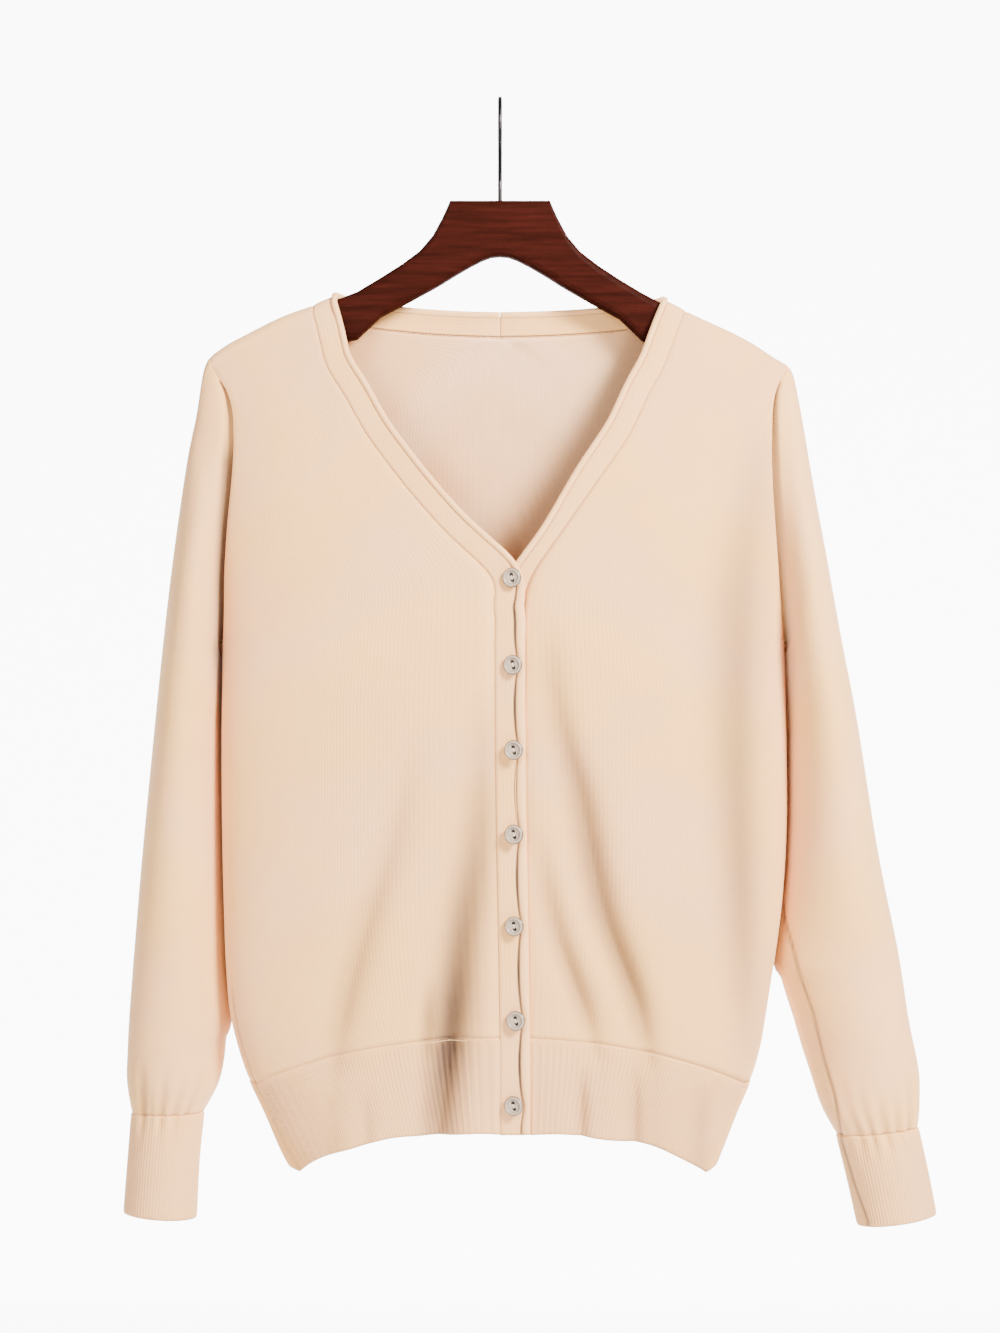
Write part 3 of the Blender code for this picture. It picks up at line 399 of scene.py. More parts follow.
def linear(colour, alpha=1.0):
    """A hex sRGB colour as linear RGBA."""
    parts = np.array([int(colour[i:i + 2], 16) for i in (1, 3, 5)]) / 255
    parts = np.where(parts <= 0.04045, parts / 12.92, ((parts + 0.055) / 1.055) ** 2.4)
    return (*parts.tolist(), alpha)


def add_node(tree, kind, inputs=(), **settings):
    """Adds a node; inputs maps a socket to a value or to the output that feeds it."""
    node = tree.nodes.new("ShaderNode" + kind)
    for name, value in settings.items():
        setattr(node, name, value)
    for socket, value in dict(inputs).items():
        if isinstance(value, bpy.types.NodeSocket):
            tree.links.new(value, node.inputs[socket])
        else:
            node.inputs[socket].default_value = value
    return node


# The knit's colours are far stronger than the wool's own, #efdac7, because the view transform and
# the bright room pale them. This is the pinker tone that patches of the wool lean to.
BLUSH = "#edb076"


def new_material(name, finish):
    """A material, its node tree and its shader, with the shader's sockets set by their names."""
    material = bpy.data.materials.new(name)
    material.use_nodes = True
    shader = material.node_tree.nodes["Principled BSDF"]
    for socket, value in finish.items():
        shader.inputs[socket].default_value = value
    return material, material.node_tree, shader


def knit_material(name, colour, wale, course, bump, shade="#4f3624"):
    """Knitted wool: upright chains of V stitches, wale wide and course high, in metres.

    The height is a rounded rib across each wale times a wave down it that slants to both sides of
    the wale's middle. Slow noise varies the colour along the yarn, and broad patches lean to the
    blush. The shade is a painted shade colour, mixed in by an attribute on the mesh: in folds,
    rib furrows, seams, grooves and hollows where light falls off.
    """
    material, tree, shader = new_material(name, {
        "Roughness": 0.88, "Specular IOR Level": 0.25, "Sheen Weight": 0.25,
        "Sheen Roughness": 0.5, "Sheen Tint": linear("#fff3e6")})
    uv = add_node(tree, "UVMap", uv_map="cloth")
    split = add_node(tree, "SeparateXYZ", {0: uv.outputs[0]})
    across = add_node(tree, "Math", {0: split.outputs[0], 1: np.pi / wale}, operation="MULTIPLY")
    rib = add_node(tree, "Math", {0: across.outputs[0]}, operation="SINE")
    rounded = add_node(tree, "Math", {0: rib.outputs[0]}, operation="ABSOLUTE")
    slant = add_node(tree, "Math", {0: rounded.outputs[0], 1: 2.4}, operation="MULTIPLY")
    down = add_node(tree, "Math", {0: split.outputs[1], 1: 2 * np.pi / course, 2: slant.outputs[0]},
                    operation="MULTIPLY_ADD")
    wave = add_node(tree, "Math", {0: down.outputs[0]}, operation="SINE")
    stitch = add_node(tree, "Math", {0: wave.outputs[0], 1: 0.3, 2: rounded.outputs[0]},
                      operation="MULTIPLY_ADD")
    stretch = add_node(tree, "Mapping", {"Vector": uv.outputs[0], "Scale": (1.0, 0.18, 1.0)})
    yarn = add_node(tree, "TexNoise", {"Vector": stretch.outputs[0], "Scale": 420.0, "Detail": 4.0,
                    "Roughness": 0.6})
    cloud = add_node(tree, "TexNoise", {"Vector": uv.outputs[0], "Scale": 14.0, "Detail": 3.0})
    mixed = add_node(tree, "Math", {0: yarn.outputs[0], 1: 0.55, 2: cloud.outputs[0]},
                     operation="MULTIPLY_ADD")
    tone = add_node(tree, "MapRange", {0: mixed.outputs[0], 1: 0.55, 2: 1.0, 3: 0.0, 4: 0.06})
    painted_shade = add_node(tree, "Attribute", attribute_name="painted_shade")
    shaded = add_node(tree, "Math", {0: painted_shade.outputs["Fac"], 1: tone.outputs[0]}, operation="ADD",
                      use_clamp=True)
    patch = add_node(tree, "TexNoise", {"Vector": uv.outputs[0], "Scale": 11.0, "Detail": 2.0})
    lean = add_node(tree, "MapRange", {0: patch.outputs[0], 1: 0.42, 2: 0.62})
    wool = add_node(tree, "Mix", {"Factor": lean.outputs[0], 6: linear(colour), 7: linear(BLUSH)},
                    data_type="RGBA")
    mix = add_node(tree, "Mix", {"Factor": shaded.outputs[0], 6: wool.outputs[2], 7: linear(shade)},
                   data_type="RGBA")
    relief = add_node(tree, "Bump", {"Height": stitch.outputs[0], "Strength": bump,
                      "Distance": 0.0003})
    tree.links.new(mix.outputs[2], shader.inputs["Base Color"])
    tree.links.new(relief.outputs[0], shader.inputs["Normal"])
    return material


# Fine-gauge plain wool knit, about seven wales to the centimetre: matt, with a soft bloom
plain_knit = knit_material("fine plain wool knit", "#efb36b", 0.0014, 0.0011, 0.45)
# Its reverse shows the purl loops: paler, with less depth between the stitches
purl_side = knit_material("purl side of the plain knit", "#eebb89", 0.0014, 0.0011, 0.3, "#4a382c")
fronts = {}
for side, worn in SIDES:
    neck_z = NECK[side][0, 1] - FRONT_DROPS
    neck_x = edge_points(NECK[side], neck_z)
    neck_z[0] = ridge(neck_x[0])
    top_angle, top_z = upper_rows(side, False, neck_x, neck_z)
    low_angle, low_z = lower_rows(side, False, front_edge(side, ROWS[:, 0]), ROWS)
    face = panel_face(side, np.vstack([top_angle, low_angle]),
                      np.vstack([top_z, low_z]), DOWN, ACROSS)
    fronts[side] = behind(face) if side == LEFT else face
    dip = (seam_dip(fronts[side], ("first", "last", "top"), 0.5, 1.8)
           + seam_dip(fronts[side], ("bottom",), 0.25, 1.2)
           - 0.7 * side_line(side, fronts[side]))
    # The mark is painted shade: in the folds, and along the right side seam where it shows
    front = cloth(f"{worn}_front", [fronts[side]], KNIT_WALL, plain_knit, (0, -1, 0),
                  [dip], [painted_fold_shade(fronts[side]) + 0.4 * side_line(side, fronts[side])],
                  reverse=purl_side)

# ----------------------------------------
# Back: one piece of the same knit from side seam to side seam, cut out along the nape. It hangs
# from the shoulder seams in slow upright folds.
NAPE = np.array([(1.0, 1.0), (0.97, 0.80), (0.90, 0.60), (0.75, 0.35), (0.5, 0.15), (0.25, 0.04),
                 (0.0, 0.0), (-0.25, 0.04)])
NAPE_Z = -159.3
NAPE_STARTS = np.array([0, 0.016, 0.053, 0.17, 0.42, 0.7, 1.0])
BACK_MIDDLE = np.array([-205, -255, -300, -340], float)


def painted_back_shade(grid):
    """Painted shade in the folds of the back, from their depth."""
    return np.clip(fold_depth(BACK_FOLDS, grid[..., 0], grid[..., 2]) / 28, 0, 1)


def neck_shade(side, grid):
    """Painted shade on the inside of the back close behind the edge of the V: a soft step."""
    edge = side * edge_points(NECK[side], grid[..., 2].ravel()).reshape(grid.shape[:2]) - 20
    clear = edge - side * grid[..., 0]
    wide, soft, strong = (20, 5, 0.13) if side < 0 else (14, 2.6, 0.48)
    return strong / (1 + np.exp(np.clip((clear - wide) / soft, -30, 30)))


backs = {}
for side in (RIGHT, LEFT):
    neck_point = fronts[side][0, 0, 0]
    rise = float(ridge(neck_point)) - NAPE_Z
    nape = NAPE * (neck_point, rise) + (0, NAPE_Z)
    steps = lengths(nape)
    begin = through(steps, nape, steps[-2] * NAPE_STARTS)
    start_x = np.concatenate([begin[:, 0], 0 * BACK_MIDDLE])
    start_z = np.concatenate([begin[:, 1], BACK_MIDDLE])
    start_x[6] = 0.0
    top_angle, top_z = upper_rows(side, True, start_x, start_z)
    low_angle, low_z = lower_rows(side, True, 0.0, ROWS)
    backs[side] = panel_face(side, np.vstack([top_angle, low_angle]),
                             np.vstack([top_z, low_z]), DOWN, ACROSS)
    backs[side][6 * DOWN:, 0, 0] = 0.0
    share = through(np.arange(7), NAPE_STARTS, np.linspace(0, 6, 6 * DOWN + 1))
    shift = through(steps, nape, steps[-2] * share) - backs[side][:6 * DOWN + 1, 0, ::2]
    shift[0] = 0
    ease = np.clip(1 - np.arange(backs[side].shape[1]) / 14, 0, 1)[:, None] ** 2
    backs[side][:6 * DOWN + 1, :, ::2] += shift[:, None] * ease
backs[LEFT][6 * DOWN:, 0] = backs[RIGHT][6 * DOWN:, 0]
dips = []
for side in (RIGHT, LEFT):
    dip = (seam_dip(backs[side], ("last", "top"), 0.5, 1.8)
           + seam_dip(backs[side], ("bottom",), 0.25, 1.2))
    dip[:6 * DOWN] += seam_dip(backs[side], ("first",), 0.5, 1.8)[:6 * DOWN]
    dips.append(dip)
# Painted shade: inside the back close behind the V, and outside in the back's folds
painted_neck_shades = [neck_shade(side, backs[side]) for side in (RIGHT, LEFT)]
painted_back_shades = [painted_back_shade(backs[side]) for side in (RIGHT, LEFT)]
back = cloth("back", [backs[RIGHT], backs[LEFT]], KNIT_WALL, plain_knit, (0, 1, 0),
             dips, painted_back_shades, painted_neck_shades, purl_side)

# ----------------------------------------
# Sleeves: set-in tubes of the plain knit, seamed under the arm. They leave the armhole flat, hang
# beside the body and are gathered into the cuffs.
# Rings after the armhole: outer x, outer z, inner x, inner z, half depth, armhole's bow kept
SLEEVE = {RIGHT: np.array([(-202, -185.5, -189, -371.8, 24, 0.66),
                           (-206.5, -214, -189.6, -372.8, 30, 0.42),
                           (-213, -247, -190.2, -374.5, 36, 0.24),
                           (-222, -311, -190.8, -380, 41, 0.08),
                           (-228.5, -367, -191, -400, 41.5, 0.0),
                           (-234.5, -425, -191, -440, 40, 0.0),
                           (-242.8, -509.7, -191, -515, 36.5, 0.0),
                           (-248.4, -575, -189.6, -578, 32.5, 0.0),
                           (-251.8, -618.5, -187.0, -620, 29.5, 0.0),
                           (-253.2, -645, -187.8, -645, 28.5, 0.0),
                           (-253.6, -666, -191.5, -667, 27.5, 0.0),
                           (-250.4, -687, -201.3, -687, 25.5, 0.0)], float),
          LEFT: np.array([(200.4, -190, 193.8, -371.8, 24, 0.66),
                          (206, -219, 194.6, -372.8, 30, 0.42),
                          (212.5, -258, 195.6, -374.5, 36, 0.24),
                          (221.5, -308, 196.6, -380, 41, 0.08),
                          (232, -367, 197, -402, 43, 0.0),
                          (242.4, -421, 197.2, -446, 44, 0.0),
                          (256.6, -509, 197, -522, 40, 0.0),
                          (270.6, -577.7, 189.6, -580, 30, 0.0),
                          (278.1, -625.3, 202, -629, 28, 0.0),
                          (284.6, -658, 212, -662, 26.5, 0.0),
                          (285.3, -680, 219, -684, 26, 0.0),
                          (284.2, -697, 228.6, -702, 25, 0.0)], float)}
# Troughs along a sleeve: angle (0 outer edge, 90 front), z top, z bottom, half width, depth
SLEEVE_FOLDS = {RIGHT: [(52, -645, -690, 8, 3.0), (84, -650, -690, 7, 3.0),
                        (107, -655, -690, 7, 2.8), (130, -650, -690, 7, 2.6),
                        (68, -665, -690, 6, 1.6), (-60, -630, -690, 12, 2.2),
                        (-110, -630, -690, 12, 2.2)],
                LEFT: [(40, -655, -704, 7, 3.2), (63, -668, -704, 6, 3.6),
                       (84, -668, -704, 7, 3.4), (104, -660, -704, 6, 2.6),
                       (122, -655, -704, 8, 2.0), (-60, -640, -704, 12, 2.2),
                       (-110, -640, -704, 12, 2.2)]}
ROUND = 9
# The inner edge of a sleeve lies this far behind the outer one, and this far clear of the body
SET_BACK = 12.0
CLEARANCE = 0.5


# The sleeve tucks in beside the body and is painted with shade there: z, width and darkness, right
# then left
BESIDE = np.array([(-190, 0, 0.2, 0, 0.1), (-208, 3.8, 0.25, 2, 0.12), (-230, 5.6, 0.3, 3, 0.12),
                   (-246, 7.0, 0.75, 3.5, 0.14), (-300, 5, 0.85, 4, 0.16),
                   (-400, 3, 0.85, 4.5, 0.2),
                   (-560, 2.4, 0.6, 3, 0.3), (-592, 2, 0.5, 5, 0.6), (-640, 1.5, 0.4, 3, 0.6),
                   (-680, 0, 0, 0, 0)], float)


# The left sleeve's underarm seam turns forward near the wrist: x and z
UNDERARM_SEAM = np.array([(191, -532), (193, -555), (201.5, -590), (211.7, -619), (219, -650),
                          (225, -671), (231.5, -706), (240, -735), (248.5, -759)], float)


def seam_line(side, grid):
    """Nearness of the front of a sleeve or cuff to its underarm seam: a bell 0.9 mm wide."""
    seam_x = np.interp(-grid[..., 2], -UNDERARM_SEAM[:, 1], UNDERARM_SEAM[:, 0])
    near = np.exp(-(((grid[..., 0] - seam_x) / 1.0) ** 2)) + 0.16 * (grid[..., 0] < seam_x)
    return near * (grid[..., 1] < 0) * np.clip((-532 - grid[..., 2]) / 12, 0, 1) * (side == LEFT)


def sleeve_face(side):
    """Rings of a sleeve: the armhole's own curve fades into flattened ovals down the arm."""
    front = fronts[side][:10 * DOWN + 1, -1]
    rear = backs[side][:10 * DOWN + 1, -1]
    loop = np.vstack([front, rear[-2::-1]])
    rows = np.arange(len(front)) / DOWN
    half = through(np.arange(11), ARM_ANGLES, rows)
    turn = np.concatenate([half, 360 - half[-2::-1]])
    start = [front[0, 0], front[0, 2], front[-1, 0], front[-1, 2], 24, 1.0]
    table = np.vstack([start, SLEEVE[side]])
    rings = through(np.arange(13), table, np.linspace(0, 12, 12 * ROUND + 1))[:, None, :]
    share = (1 - np.cos(np.radians(turn))) / 2
    chord = front[0] + (front[-1] - front[0]) * share[:, None]
    bow = rings[..., 5]
    x = rings[..., 0] + (rings[..., 2] - rings[..., 0]) * share + (loop - chord)[:, 0] * bow
    z = rings[..., 1] + (rings[..., 3] - rings[..., 1]) * share + (loop - chord)[:, 2] * bow
    y = loop[:, 1] * bow - rings[..., 4] * np.sin(np.radians(turn)) * (1 - bow)
    low = rings[..., 3]
    y += SET_BACK * share**2 * np.clip((-380 - low) / 40, 0, 1) * np.clip((690 + low) / 40, 0, 1)
    deep = np.where(y < 0, at_height(BODY, z, 3), at_height(BODY, z, 4))
    body_x = (half_width(side, z)
              * (1 - np.clip(np.abs(y) / deep, 0, 1) ** 3) ** (1 / 3))
    gap = np.where(share > 0.4, side * x - body_x, 99).min(axis=1, keepdims=True)
    close = np.clip((9 - gap) / 5, 0, 1) * np.clip((-372 - low) / 5, 0, 1)
    x -= side * (gap - CLEARANCE) * share**2 * close
    grid = np.stack([x, y, z], axis=-1)
    line = np.vstack([np.stack([side * front[:, 0], front[:, 2]], axis=1),
                      np.stack([half_width(side, BESIDE[4:, 0]),
                                BESIDE[4:, 0]], axis=1)])
    clear = side * x - np.interp(-z, -line[:, 1], line[:, 0])
    wide = np.interp(-z, -BESIDE[:, 0], BESIDE[:, 1 if side < 0 else 3])
    strong = np.interp(-z, -BESIDE[:, 0], BESIDE[:, 2 if side < 0 else 4])
    tuck = (turn < 180) / (1 + np.exp((clear - wide) / 0.8)) * (wide > 0.1)
    grid[..., 1] += 5 * tuck * np.clip(-grid[..., 1] / 6, 0, 1)
    # Painted shade beside the body, and a little over the whole right sleeve, which lies away from
    # the key light
    dark = tuck * strong + (0.05 if side == RIGHT else 0.0)
    middle = grid[:, :-1].mean(axis=1, keepdims=True)
    pull = 0
    for angle, z_top, z_bottom, spread, dent in SLEEVE_FOLDS[side]:
        away = (turn - angle + 180) % 360 - 180
        reach = np.clip((z_top - z) / (z_top - z_bottom), 0, 1)
        pull = pull + dent * reach * np.exp(-((away / spread) ** 2))
    # Painted shade in the sleeve's folds by the cuff, from their depth
    dark = np.clip(dark + 0.1 * pull, 0, 1)
    radius = np.linalg.norm(grid - middle, axis=2)
    grid += (middle - grid) * (pull / radius)[..., None]
    under = grid[:1] + np.stack([0 * turn - side, 0.8 * np.sin(np.radians(turn)),
                                 -0.8 * np.clip(np.cos(np.radians(turn)), 0, 1)], axis=-1)
    grid = np.vstack([under, grid])
    grid[:, -1] = grid[:, 0]
    return grid, turn, np.vstack([dark[:1], dark])


sleeves, sleeve_turns, painted_sleeve_shades = {}, {}, {}
for side, worn in SIDES:
    sleeves[side], sleeve_turns[side], painted_sleeve_shades[side] = sleeve_face(side)
    dip = seam_dip(sleeves[side], ("top", "bottom"), 0.5, 1.8)
    seam = seam_line(side, sleeves[side])
    # The left sleeve's underarm seam is drawn in and painted darker, as shade
    sleeve = cloth(f"{worn}_sleeve", [sleeves[side]], KNIT_WALL, plain_knit,
                   sleeves[side][:, :-1].mean(axis=1), [dip - 0.9 * seam],
                   [np.clip(painted_sleeve_shades[side] + 0.6 * seam, 0, 1)], reverse=purl_side)

# ----------------------------------------
# Hem: a firm rib knit in three lengths, linked to the fronts and the back loop by loop. Its ribs
# stand 2.2 mm apart and draw the body in.
HEM_ROWS = np.array([(-632, -666, 2.2), (-664, -692, 2.6), (-697, -722, 3.3)], float)
RIB_WALL = 2.0
RIB_PITCH = 2.2
RIB_RELIEF = 0.38


def ribbed(grid, fade_rows):
    """Height of the ribs and painted shade in their furrows: a cosine across, four columns a rib."""
    wave = 0.5 + 0.5 * np.cos(np.arange(grid.shape[1]) * np.pi / 2)
    fade = np.clip(np.arange(grid.shape[0]) / fade_rows, 0.15, 1)[:, None]
    return RIB_RELIEF * wave * fade, (1 - wave) * fade * 0.16


# The same wool in a tighter rib: upright ridges catch the light, and the furrows are painted darker
# as shade
rib_knit = knit_material("wool rib knit", "#eeb16a", 0.0011, 0.0012, 0.35)
hems, hem_parts = {}, {}
for side in (RIGHT, LEFT):
    for back_half in (False, True):
        edge_x = 0.0 if back_half else front_edge(side, HEM_ROWS[:, 0])
        angle, z = lower_rows(side, back_half, edge_x, HEM_ROWS)
        above = (backs if back_half else fronts)[side][-1]
        columns = 4 * round(lengths(above)[-1] / RIB_PITCH)
        rows = through(np.arange(3), np.stack([angle, z], axis=-1), np.linspace(0, 2, 33))
        place = np.linspace(0, 12, columns + 1)
        wide = through(np.arange(13), rows.transpose(1, 0, 2), place).transpose(1, 0, 2)
        grid = body_face(side, wide[..., 0], wide[..., 1])
        loose = np.linspace(0, 1, 33)[:, None] ** 2
        corner = (5.6 if side < 0 else 4.4) * np.clip(np.abs(grid[..., 0]) / 165, 0, 1) ** 2
        grid[..., 2] -= loose * (corner + 0.8 * np.sin(grid[..., 0] / 9))
        grid[..., 1] += loose * 1.6 * np.sin(grid[..., 0] / 12)
        if side == LEFT and not back_half:
            grid = behind(grid)
        if back_half:
            grid[:, 0, 0] = 0.0
            if side == LEFT:
                grid[:, 0] = hems[RIGHT, True][:, 0]
        hems[side, back_half] = grid
        hem_parts[side, back_half] = ribbed(grid, 3)
for side, worn in SIDES:
    relief, painted_shade = hem_parts[side, False]
    relief = (relief + seam_dip(hems[side, False], ("first", "last", "top", "bottom"), 0.3, 1.4)
              - 0.7 * side_line(side, hems[side, False]))
    # Painted shade in the rib furrows and the folds, and along the right side seam
    painted_shade = painted_shade + painted_fold_shade(hems[side, False]) + 0.4 * side_line(side, hems[side, False])
    hem = cloth(f"{worn}_front_hem", [hems[side, False]], RIB_WALL, rib_knit,
                (0, -1, 0), [relief], [painted_shade])
reliefs = [hem_parts[side, True][0] + seam_dip(hems[side, True], ("last", "top", "bottom"),
                                               0.3, 1.4) for side in (RIGHT, LEFT)]
# Painted shade in the rib furrows and the back's folds
hem = cloth("back_hem", [hems[RIGHT, True], hems[LEFT, True]], RIB_WALL, rib_knit,
            (0, 1, 0), reliefs, [hem_parts[side, True][1] + painted_back_shade(hems[side, True])
                                 for side in (RIGHT, LEFT)])

# ----------------------------------------
# Cuffs: tubes of the same rib, linked to the gathered ends of the sleeves.
# Rings: outer x, outer z, inner x, inner z, half depth
CUFF = {RIGHT: np.array([(-250.4, -687, -201.3, -687, 25.5), (-253, -720, -204.6, -720, 25),
                         (-255.8, -755, -206.6, -759, 24.5)], float),
        LEFT: np.array([(284.2, -697, 228.6, -702, 25), (291, -728, 236.4, -734, 25),
                        (296.5, -756, 243.1, -764, 24.5)], float)}
cuffs = {}
for side, worn in SIDES:
    last = sleeves[side][-1]
    columns = 4 * round(lengths(last)[-1] / RIB_PITCH)
    turn = np.linspace(0, 360, columns + 1)
    top = read_path(turn, sleeve_turns[side], last)
    rings = through(np.arange(3), CUFF[side], np.linspace(0, 2, 37))[:, None, :]
    share = (1 - np.cos(np.radians(turn))) / 2
    grid = np.stack([rings[..., 0] + (rings[..., 2] - rings[..., 0]) * share,
                     -rings[..., 4] * np.sin(np.radians(turn)),
                     rings[..., 1] + (rings[..., 3] - rings[..., 1]) * share], axis=-1)
    settle = np.exp(-((np.arange(37) / 7) ** 2))[:, None, None]
    grid += (top - grid[:1]) * settle
    grid[:, -1] = grid[:, 0]
    cuffs[side] = grid
    relief, painted_shade = ribbed(grid, 3)
    relief = relief + seam_dip(grid, ("top", "bottom"), 0.35, 1.4) - 0.5 * seam_line(side, grid)
    # Painted shade in the rib furrows and along the left underarm seam
    painted_shade = painted_shade + 0.55 * seam_line(side, grid)
    cuff = cloth(f"{worn}_cuff", [grid], RIB_WALL, rib_knit,
                 grid[:, :-1].mean(axis=1), [relief], [painted_shade])

# ----------------------------------------
# Linking: the row of chain stitches in the same yarn that joins the ribs to the panels. It lies
# as small light beads along the top of the hem and of the cuffs.
yarn = knit_material("linking yarn", "#f3bf83", 0.0013, 0.0011, 0.2)


def stitches(name, path, facing, pitch, length, radius):
    """A row of small beads along a path: each an ellipse of rings about the path's direction."""
    steps = lengths(path)
    even = np.arange(pitch / 2, steps[-1], pitch)
    seat = read_path(even, steps, path)
    out = read_path(even, steps, facing)
    along = np.gradient(seat, axis=0)
    along /= np.linalg.norm(along, axis=1, keepdims=True)
    out -= along * (out * along).sum(axis=1, keepdims=True)
    out /= np.linalg.norm(out, axis=1, keepdims=True)
    beside = np.cross(along, out)
    ring = np.linspace(-np.pi / 2, np.pi / 2, 6)[:, None, None]
    turn = np.linspace(0, 2 * np.pi, 6, endpoint=False)[:, None]
    points = (seat[:, None, None] + along[:, None, None] * np.sin(ring) * length / 2
              + (out[:, None, None] * np.sin(turn) + beside[:, None, None] * np.cos(turn))
              * np.cos(ring) * radius)
    faces = tube_quads(6, 6, 0) + 36 * np.arange(len(seat))[:, None, None]
    mesh = bpy.data.meshes.new(name)
    mesh.from_pydata((points.reshape(-1, 3) * 0.001).tolist(), [], faces.reshape(-1, 4).tolist())
    mesh.shade_smooth()
    mesh.materials.append(yarn)
    hang(mesh, None)


def along_edge(grid, row):
    """A row of a grid and the directions that its cloth faces, away from the middle."""
    facing = np.cross(np.gradient(grid[row], axis=0), grid[row + 1] - grid[row])
    facing /= np.maximum(np.linalg.norm(facing, axis=1, keepdims=True), 1e-9)
    middle = grid.mean(axis=(0, 1)) * (1, 0, 1)
    if (facing * (grid[row] - middle) * (1, 1, 0)).sum() < 0:
        facing = -facing
    return grid[row] + facing * 0.1, facing


for side, worn in SIDES:
    stitches(f"{worn}_hem_linking", *along_edge(hems[side, False], 1), 2.2, 1.9, 0.34)
    stitches(f"{worn}_back_hem_linking", *along_edge(hems[side, True], 1), 2.2, 1.9, 0.34)
    stitches(f"{worn}_cuff_linking", *along_edge(cuffs[side], 1), 2.2, 1.9, 0.34)

# ----------------------------------------
# Bands: a flat knitted strip along each front edge and on round the neck, where the two meet
# behind. The right one, on top, carries the buttonholes; the left one under it, the buttons.
BAND_WIDTH = 13.5
BUTTON_HEIGHTS = np.array([-325.5, -383.5, -440, -496, -557, -620, -677])


def band_frames(side, path):
    """Outward and inward directions of the cloth along the edge it is joined to.

    Over the shoulder the inward direction runs up the slope of the shoulder line.
    """
    along = np.gradient(path, axis=0)
    along[-1] = (-side, 0, 0)
    along /= np.linalg.norm(along, axis=1, keepdims=True)
    x, y, z = path.T
    lift = np.maximum(SHOULDER_ARC - ridge(x) + z, 0)
    slope = (ridge(x - side * BAND_WIDTH) - ridge(x)) / (-side * BAND_WIDTH)
    facing = np.stack([-slope * lift, np.where(lift > 0, y, np.sign(y)), lift], axis=1)
    inward = np.cross(along, facing)
    inward *= np.sign(inward @ (-side, 0.0, 0.8))[:, None]
    inward /= np.linalg.norm(inward, axis=1, keepdims=True)
    uphill = np.stack([0 * slope + 1, 0 * slope, slope], axis=1)
    uphill *= -side / np.linalg.norm(uphill, axis=1, keepdims=True)
    share = np.minimum(lift / 4, 1)[:, None]
    inward = inward * (1 - share) + uphill * share
    inward /= np.linalg.norm(inward, axis=1, keepdims=True)
    facing -= inward * (facing * inward).sum(axis=1, keepdims=True)
    return facing / np.linalg.norm(facing, axis=1, keepdims=True), inward


# How far the right band's free edge draws back midway between two buttons, and how much wider
# than the neck the band is where it carries the buttonholes
BOW = 2.7
PLACKET_EXTRA = 2.3


def extra_width(side, z, y):
    """Added width of the right band from the foot of the neck down; the left one narrows there."""
    share = np.clip((-312 - z) / 22, 0, 1)
    added = PLACKET_EXTRA * share**2 * (3 - 2 * share)
    return (y < 0) * np.where(side == RIGHT, added, -5.0 * np.exp(-(((z + 306) / 36) ** 2)))


def gape(side, z, y):
    """How far the groove beside the trim opens: half waves between the buttons, shut at each."""
    place = np.interp(-z, -BUTTON_HEIGHTS, np.arange(7.0))
    wave = np.abs(np.sin(np.pi * place)) ** 0.6
    wave = np.where(z < -677, 0.6 * np.clip((-677 - z) / 14, 0, 1), wave)
    return wave * (z < -325.5) * (y < 0) * (side == RIGHT)


band_knit = knit_material("flat band knit", "#eeb06a", 0.0013, 0.0011, 0.4)
paths, frames = {}, {}
for side, worn in SIDES:
    path = np.vstack([hems[side, False][::-1, 0], fronts[side][-2::-1, 0],
                      backs[side][1:6 * DOWN + 1, 0]])
    steps = lengths(path)
    even = np.linspace(0, steps[-1], round(steps[-1] / 2))
    paths[side] = read_path(even, steps, path)
    outward, inward = band_frames(side, paths[side])
    frames[side] = outward, inward
    reach = np.concatenate([[-0.5], np.linspace(0, BAND_WIDTH - 4, 8),
                            np.linspace(BAND_WIDTH - 3.7, BAND_WIDTH + 0.4, 13)])
    crown = 0.3 * np.sin(np.pi * np.clip(reach / BAND_WIDTH, 0, 1))
    crown[0] = -0.7
    extra = extra_width(side, paths[side][:, 2], paths[side][:, 1])[:, None]
    spread = reach * (1 + extra / BAND_WIDTH)
    grid = paths[side][:, None] + inward[:, None] * spread[..., None]
    grid += outward[:, None] * crown[:, None]
    open_by = gape(side, paths[side][:, 2], paths[side][:, 1])[:, None]
    past = spread - BAND_WIDTH - extra + BOW * open_by
    # Painted shade in the groove beside the trim, deeper where it gapes, and along the seam to the
    # front
    painted_shade = np.clip((past + 0.5 + 0.7 * open_by) / 0.3, 0, 1)
    relief = (seam_dip(grid, ("first",), 0.4, 0.9)
              - (0.6 + 1.3 * open_by) / (1 + np.exp(-(past + 0.2) / 0.2)))
    painted_seam_shade = 0.22 * np.exp(-((reach / 0.5) ** 2))
    band = cloth(f"{worn}_band", [grid], RIB_WALL, band_knit, (0, -1, 0), [relief],
                 [(0.42 + 0.53 * open_by) * painted_shade + painted_seam_shade])

for side, worn in SIDES:
    inside = backs[side][3:6 * DOWN + 1, 0] - (0, KNIT_WALL + 0.1, 0)
    stitches(f"{worn}_neck_linking", inside, 0 * inside - (0, 1, 0), 2.4, 2.0, 0.4)

